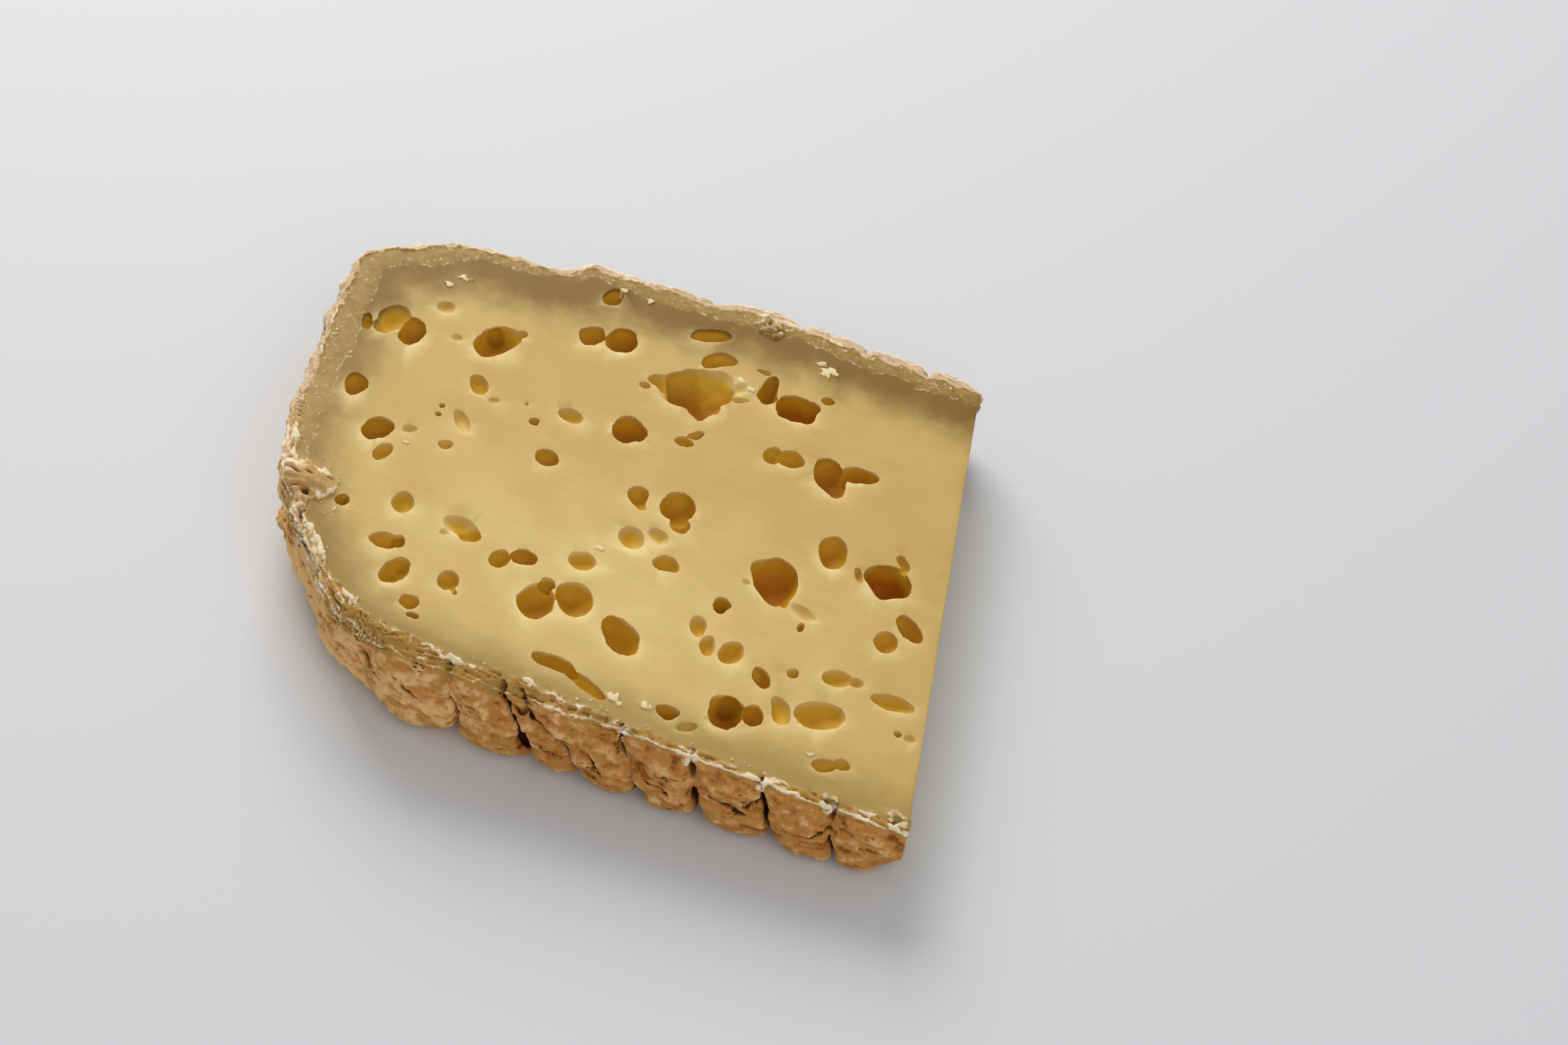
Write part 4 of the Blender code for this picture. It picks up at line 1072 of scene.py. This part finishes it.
def cheese_finish():
    """Waxy, slightly translucent paste, and dry matt rind over it."""
    material = bpy.data.materials.new("cheese")
    material.use_nodes = True
    nodes = material.node_tree.nodes
    links = material.node_tree.links
    shader = nodes["Principled BSDF"]
    shader.inputs["Metallic"].default_value = 0.0
    shader.inputs["Specular IOR Level"].default_value = 0.3
    shader.inputs["Specular Tint"].default_value = (1.0, 0.85, 0.5, 1.0)
    shader.inputs["Subsurface Weight"].default_value = 0.35
    shader.inputs["Subsurface Radius"].default_value = (0.9, 0.55, 0.22)
    shader.inputs["Subsurface Scale"].default_value = 0.0019
    place = nodes.new("ShaderNodeTexCoord")

    def in_mm(stretch):
        node = nodes.new("ShaderNodeMapping")
        node.inputs["Scale"].default_value = (1000.0 / stretch, 1000.0, 1000.0)
        links.new(place.outputs["Object"], node.inputs["Vector"])
        return node.outputs["Vector"]

    def layer(name):
        node = nodes.new("ShaderNodeAttribute")
        node.attribute_name = name
        return node.outputs["Fac"]

    def speckle(pitch, detail, roughness=0.5, stretch=1.0):
        node = nodes.new("ShaderNodeTexNoise")
        node.inputs["Scale"].default_value = 1 / pitch
        node.inputs["Detail"].default_value = detail
        node.inputs["Roughness"].default_value = roughness
        links.new(in_mm(stretch), node.inputs["Vector"])
        return node.outputs["Fac"]

    def sum_of(value, other, factor):
        node = nodes.new("ShaderNodeMath")
        node.operation = "MULTIPLY_ADD"
        links.new(other, node.inputs[0])
        node.inputs[1].default_value = factor
        links.new(value, node.inputs[2])
        return node.outputs[0]

    def between(value, low, high, to_low=0.0, to_high=1.0):
        node = nodes.new("ShaderNodeMapRange")
        node.interpolation_type = "SMOOTHSTEP"
        node.inputs["From Min"].default_value = low
        node.inputs["From Max"].default_value = high
        node.inputs["To Min"].default_value = to_low
        node.inputs["To Max"].default_value = to_high
        links.new(value, node.inputs["Value"])
        return node.outputs["Result"]

    def mixed(share, first, second):
        node = nodes.new("ShaderNodeMix")
        node.data_type = "RGBA"
        for socket, colour in ((node.inputs[6], first), (node.inputs[7], second)):
            if isinstance(colour, tuple):
                socket.default_value = from_swatch(colour)
            else:
                links.new(colour, socket)
        links.new(share, node.inputs[0])
        return node.outputs[2]

    def product(value, other):
        node = nodes.new("ShaderNodeMath")
        node.operation = "MULTIPLY"
        links.new(value, node.inputs[0])
        links.new(other, node.inputs[1])
        return node.outputs[0]

    broad = speckle(9.0, 2.0)
    fine_grain = speckle(0.7, 3.0)
    mottle = speckle(1.3, 4.0, 0.6)
    lobes = speckle(7.0, 3.0, 0.6)
    sawn = speckle(1.3, 3.0, 0.6, 11.0)
    # A painted pool of light on the paste, with random darker patches and saw marks
    paste = mixed(layer("painted_light_pool"), PASTE, LIT_PASTE)
    paste = mixed(between(broad, 0.3, 0.7, 0.0, 0.25), paste, SHADED_PASTE)
    paste = mixed(between(sawn, 0.4, 0.65, 0.0, 0.08), paste, SAW_MARKS)
    # Aged paste inwards from the rim, and painted shade along the far and left sides
    aged = between(sum_of(layer("fresh"), lobes, 0.8), 0.4, 1.4, 1.0, 0.0)
    paste = mixed(product(aged, layer("ageing_and_far_shade")), paste, AGED_AND_SHADED_PASTE)
    film = sum_of(sum_of(layer("film_edge"), lobes, 7.0), mottle, 2.0)
    patches = speckle(1.9, 4.0, 0.7)
    film_share = product(between(film, 4.0, 6.2), between(patches, 0.36, 0.6, 0.3, 0.72))
    paste = mixed(film_share, paste, FILM)
    film_line = sum_of(between(film, 4.2, 4.7), between(film, 4.9, 5.8), -1.0)
    film_line = between(sum_of(film_line, patches, 1.6), 1.7, 2.1, 0.0, 0.8)
    paste = mixed(film_line, paste, FILM_FLAKES)
    flakes = product(between(film, 4.6, 6.0), between(speckle(1.1, 3.0, 0.6), 0.60, 0.70, 0.0, 0.6))
    paste = mixed(flakes, paste, FILM_FLAKES)
    # Painted glow and highlight at the lips of the eyes
    paste = mixed(between(layer("painted_lip_glow"), 0.05, 1.1, 0.0, 0.9), paste, EYE_LIP_GLOW)
    # Painted shade and glow inside the eyes: amber where shallow, darker with depth, darkest on the pockets'
    # walls
    paste = mixed(between(layer("eye_depth"), 0.03, 0.25), paste, SHALLOW_EYE_SHADE)
    eye = mixed(layer("warmth"), DEEP_EYE_SHADE, DEEP_EYE_SHADE_AT_CUT)
    eye = mixed(layer("pocket"), eye, POCKET_SHADE)
    paste = mixed(between(layer("eye_depth"), 0.2, 1.0), paste, eye)

    relief_value = sum_of(sum_of(layer("relief"), mottle, 1.1), fine_grain, 0.6)
    # The rind, darkened as painted shade for the near wall, with painted shade in its hollows and painted
    # light on its crests
    rind = mixed(between(relief_value, 0.15, 0.95), SHADED_RIND_HOLLOWS, SHADED_RIND)
    rind = mixed(between(relief_value, 0.9, 1.8), rind, LIT_RIND_CRESTS)
    # Grey skin, made paler on the heel and the far side as painted light
    rind = mixed(between(sum_of(layer("grey_skin_and_painted_light"), mottle, 0.7), 0.5, 1.4), rind, LIT_GREY_RIND)
    rind = mixed(between(sum_of(layer("ochre"), mottle, 0.8), 0.5, 1.3), rind, OCHRE_RIND)
    # Painted shade in furrows, folds, creases and holes, and the rind's dark cracks
    rind = mixed(between(sum_of(layer("shade"), mottle, 0.5), 0.4, 1.1), rind, CRACKS_AND_SHADE)
    pale = between(sum_of(layer("bloom"), mottle, 0.9), 0.7, 1.3)
    rind = mixed(pale, rind, RIND_BLOOM)
    border = between(sum_of(layer("skin_edge"), mottle, 1.2), 0.3, 0.9)
    paste = mixed(pale, paste, PASTE_BLOOM)
    links.new(mixed(border, paste, rind), shader.inputs["Base Color"])
    links.new(between(border, 0.0, 1.0, 0.5, 0.85), shader.inputs["Roughness"])

    grain = nodes.new("ShaderNodeBump")
    grain.inputs["Strength"].default_value = 0.35
    grain.inputs["Distance"].default_value = 0.0006
    rind_grain = sum_of(mottle, fine_grain, 0.5)
    links.new(product(rind_grain, between(border, 0.0, 1.0, 0.06, 1.0)), grain.inputs["Height"])
    links.new(grain.outputs["Normal"], shader.inputs["Normal"])
    return material


slab.data.materials.clear()
slab.data.materials.append(cheese_finish())
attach(slab, "root")
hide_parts("cheese_slab")

# ---------------------------------------------------------------------------------------------------
# The table: a plain pale floor, two soft lights behind and above, and the camera.
# ---------------------------------------------------------------------------------------------------

bpy.ops.mesh.primitive_plane_add(size=6.0)
floor = bpy.context.active_object
floor.name = "floor"
floor_paint = bpy.data.materials.new("floor_paint")
floor_paint.use_nodes = True
floor_paint.node_tree.nodes["Principled BSDF"].inputs["Base Color"].default_value = (0.72, 0.73, 0.74, 1.0)
floor_paint.node_tree.nodes["Principled BSDF"].inputs["Roughness"].default_value = 0.7
floor.data.materials.append(floor_paint)


def soft_light(name, place, width, power):
    """A square panel of soft light that looks at the slab."""
    lamp = bpy.data.lights.new(name, "AREA")
    lamp.size = width
    lamp.energy = power
    holder = bpy.data.objects.new(name, lamp)
    holder.location = place
    holder.rotation_euler = (-Vector(place)).to_track_quat("-Z", "Y").to_euler()
    bpy.context.scene.collection.objects.link(holder)


soft_light("window", (-0.55, 0.85, 0.75), width=0.8, power=12.5)
soft_light("fill", (0.5, -0.7, 0.9), width=1.0, power=4.0)
world = bpy.data.worlds.new("room")
world.use_nodes = True
world.node_tree.nodes["Background"].inputs["Color"].default_value = (0.95, 0.97, 1.0, 1.0)
world.node_tree.nodes["Background"].inputs["Strength"].default_value = 0.35
bpy.context.scene.world = world
bpy.context.scene.view_settings.view_transform = "Standard"

CAMERA_PLACE = (0.10678, -0.3825, 0.45)
CAMERA_PITCH = math.radians(47.6)
CAMERA_ROLL = math.radians(8.8)
CAMERA_YAW = math.radians(-11.1)
LENS_LENGTH = 67.35
SENSOR_WIDTH = 36.0
forward = Vector((
    math.cos(CAMERA_PITCH) * math.sin(CAMERA_YAW), math.cos(CAMERA_PITCH) * math.cos(CAMERA_YAW),
    -math.sin(CAMERA_PITCH),
))
level_right = Vector((math.cos(CAMERA_YAW), -math.sin(CAMERA_YAW), 0.0))
level_up = level_right.cross(forward)
right = level_right * math.cos(CAMERA_ROLL) + level_up * math.sin(CAMERA_ROLL)
up = level_up * math.cos(CAMERA_ROLL) - level_right * math.sin(CAMERA_ROLL)
lens = bpy.data.cameras.new("camera")
lens.lens = LENS_LENGTH
lens.sensor_width = SENSOR_WIDTH
lens.clip_start = 0.01
camera = bpy.data.objects.new("camera", lens)
camera.matrix_world = Matrix((
    (right.x, up.x, -forward.x, CAMERA_PLACE[0]),
    (right.y, up.y, -forward.y, CAMERA_PLACE[1]),
    (right.z, up.z, -forward.z, CAMERA_PLACE[2]),
    (0.0, 0.0, 0.0, 1.0),
))
bpy.context.scene.collection.objects.link(camera)
bpy.context.scene.camera = camera
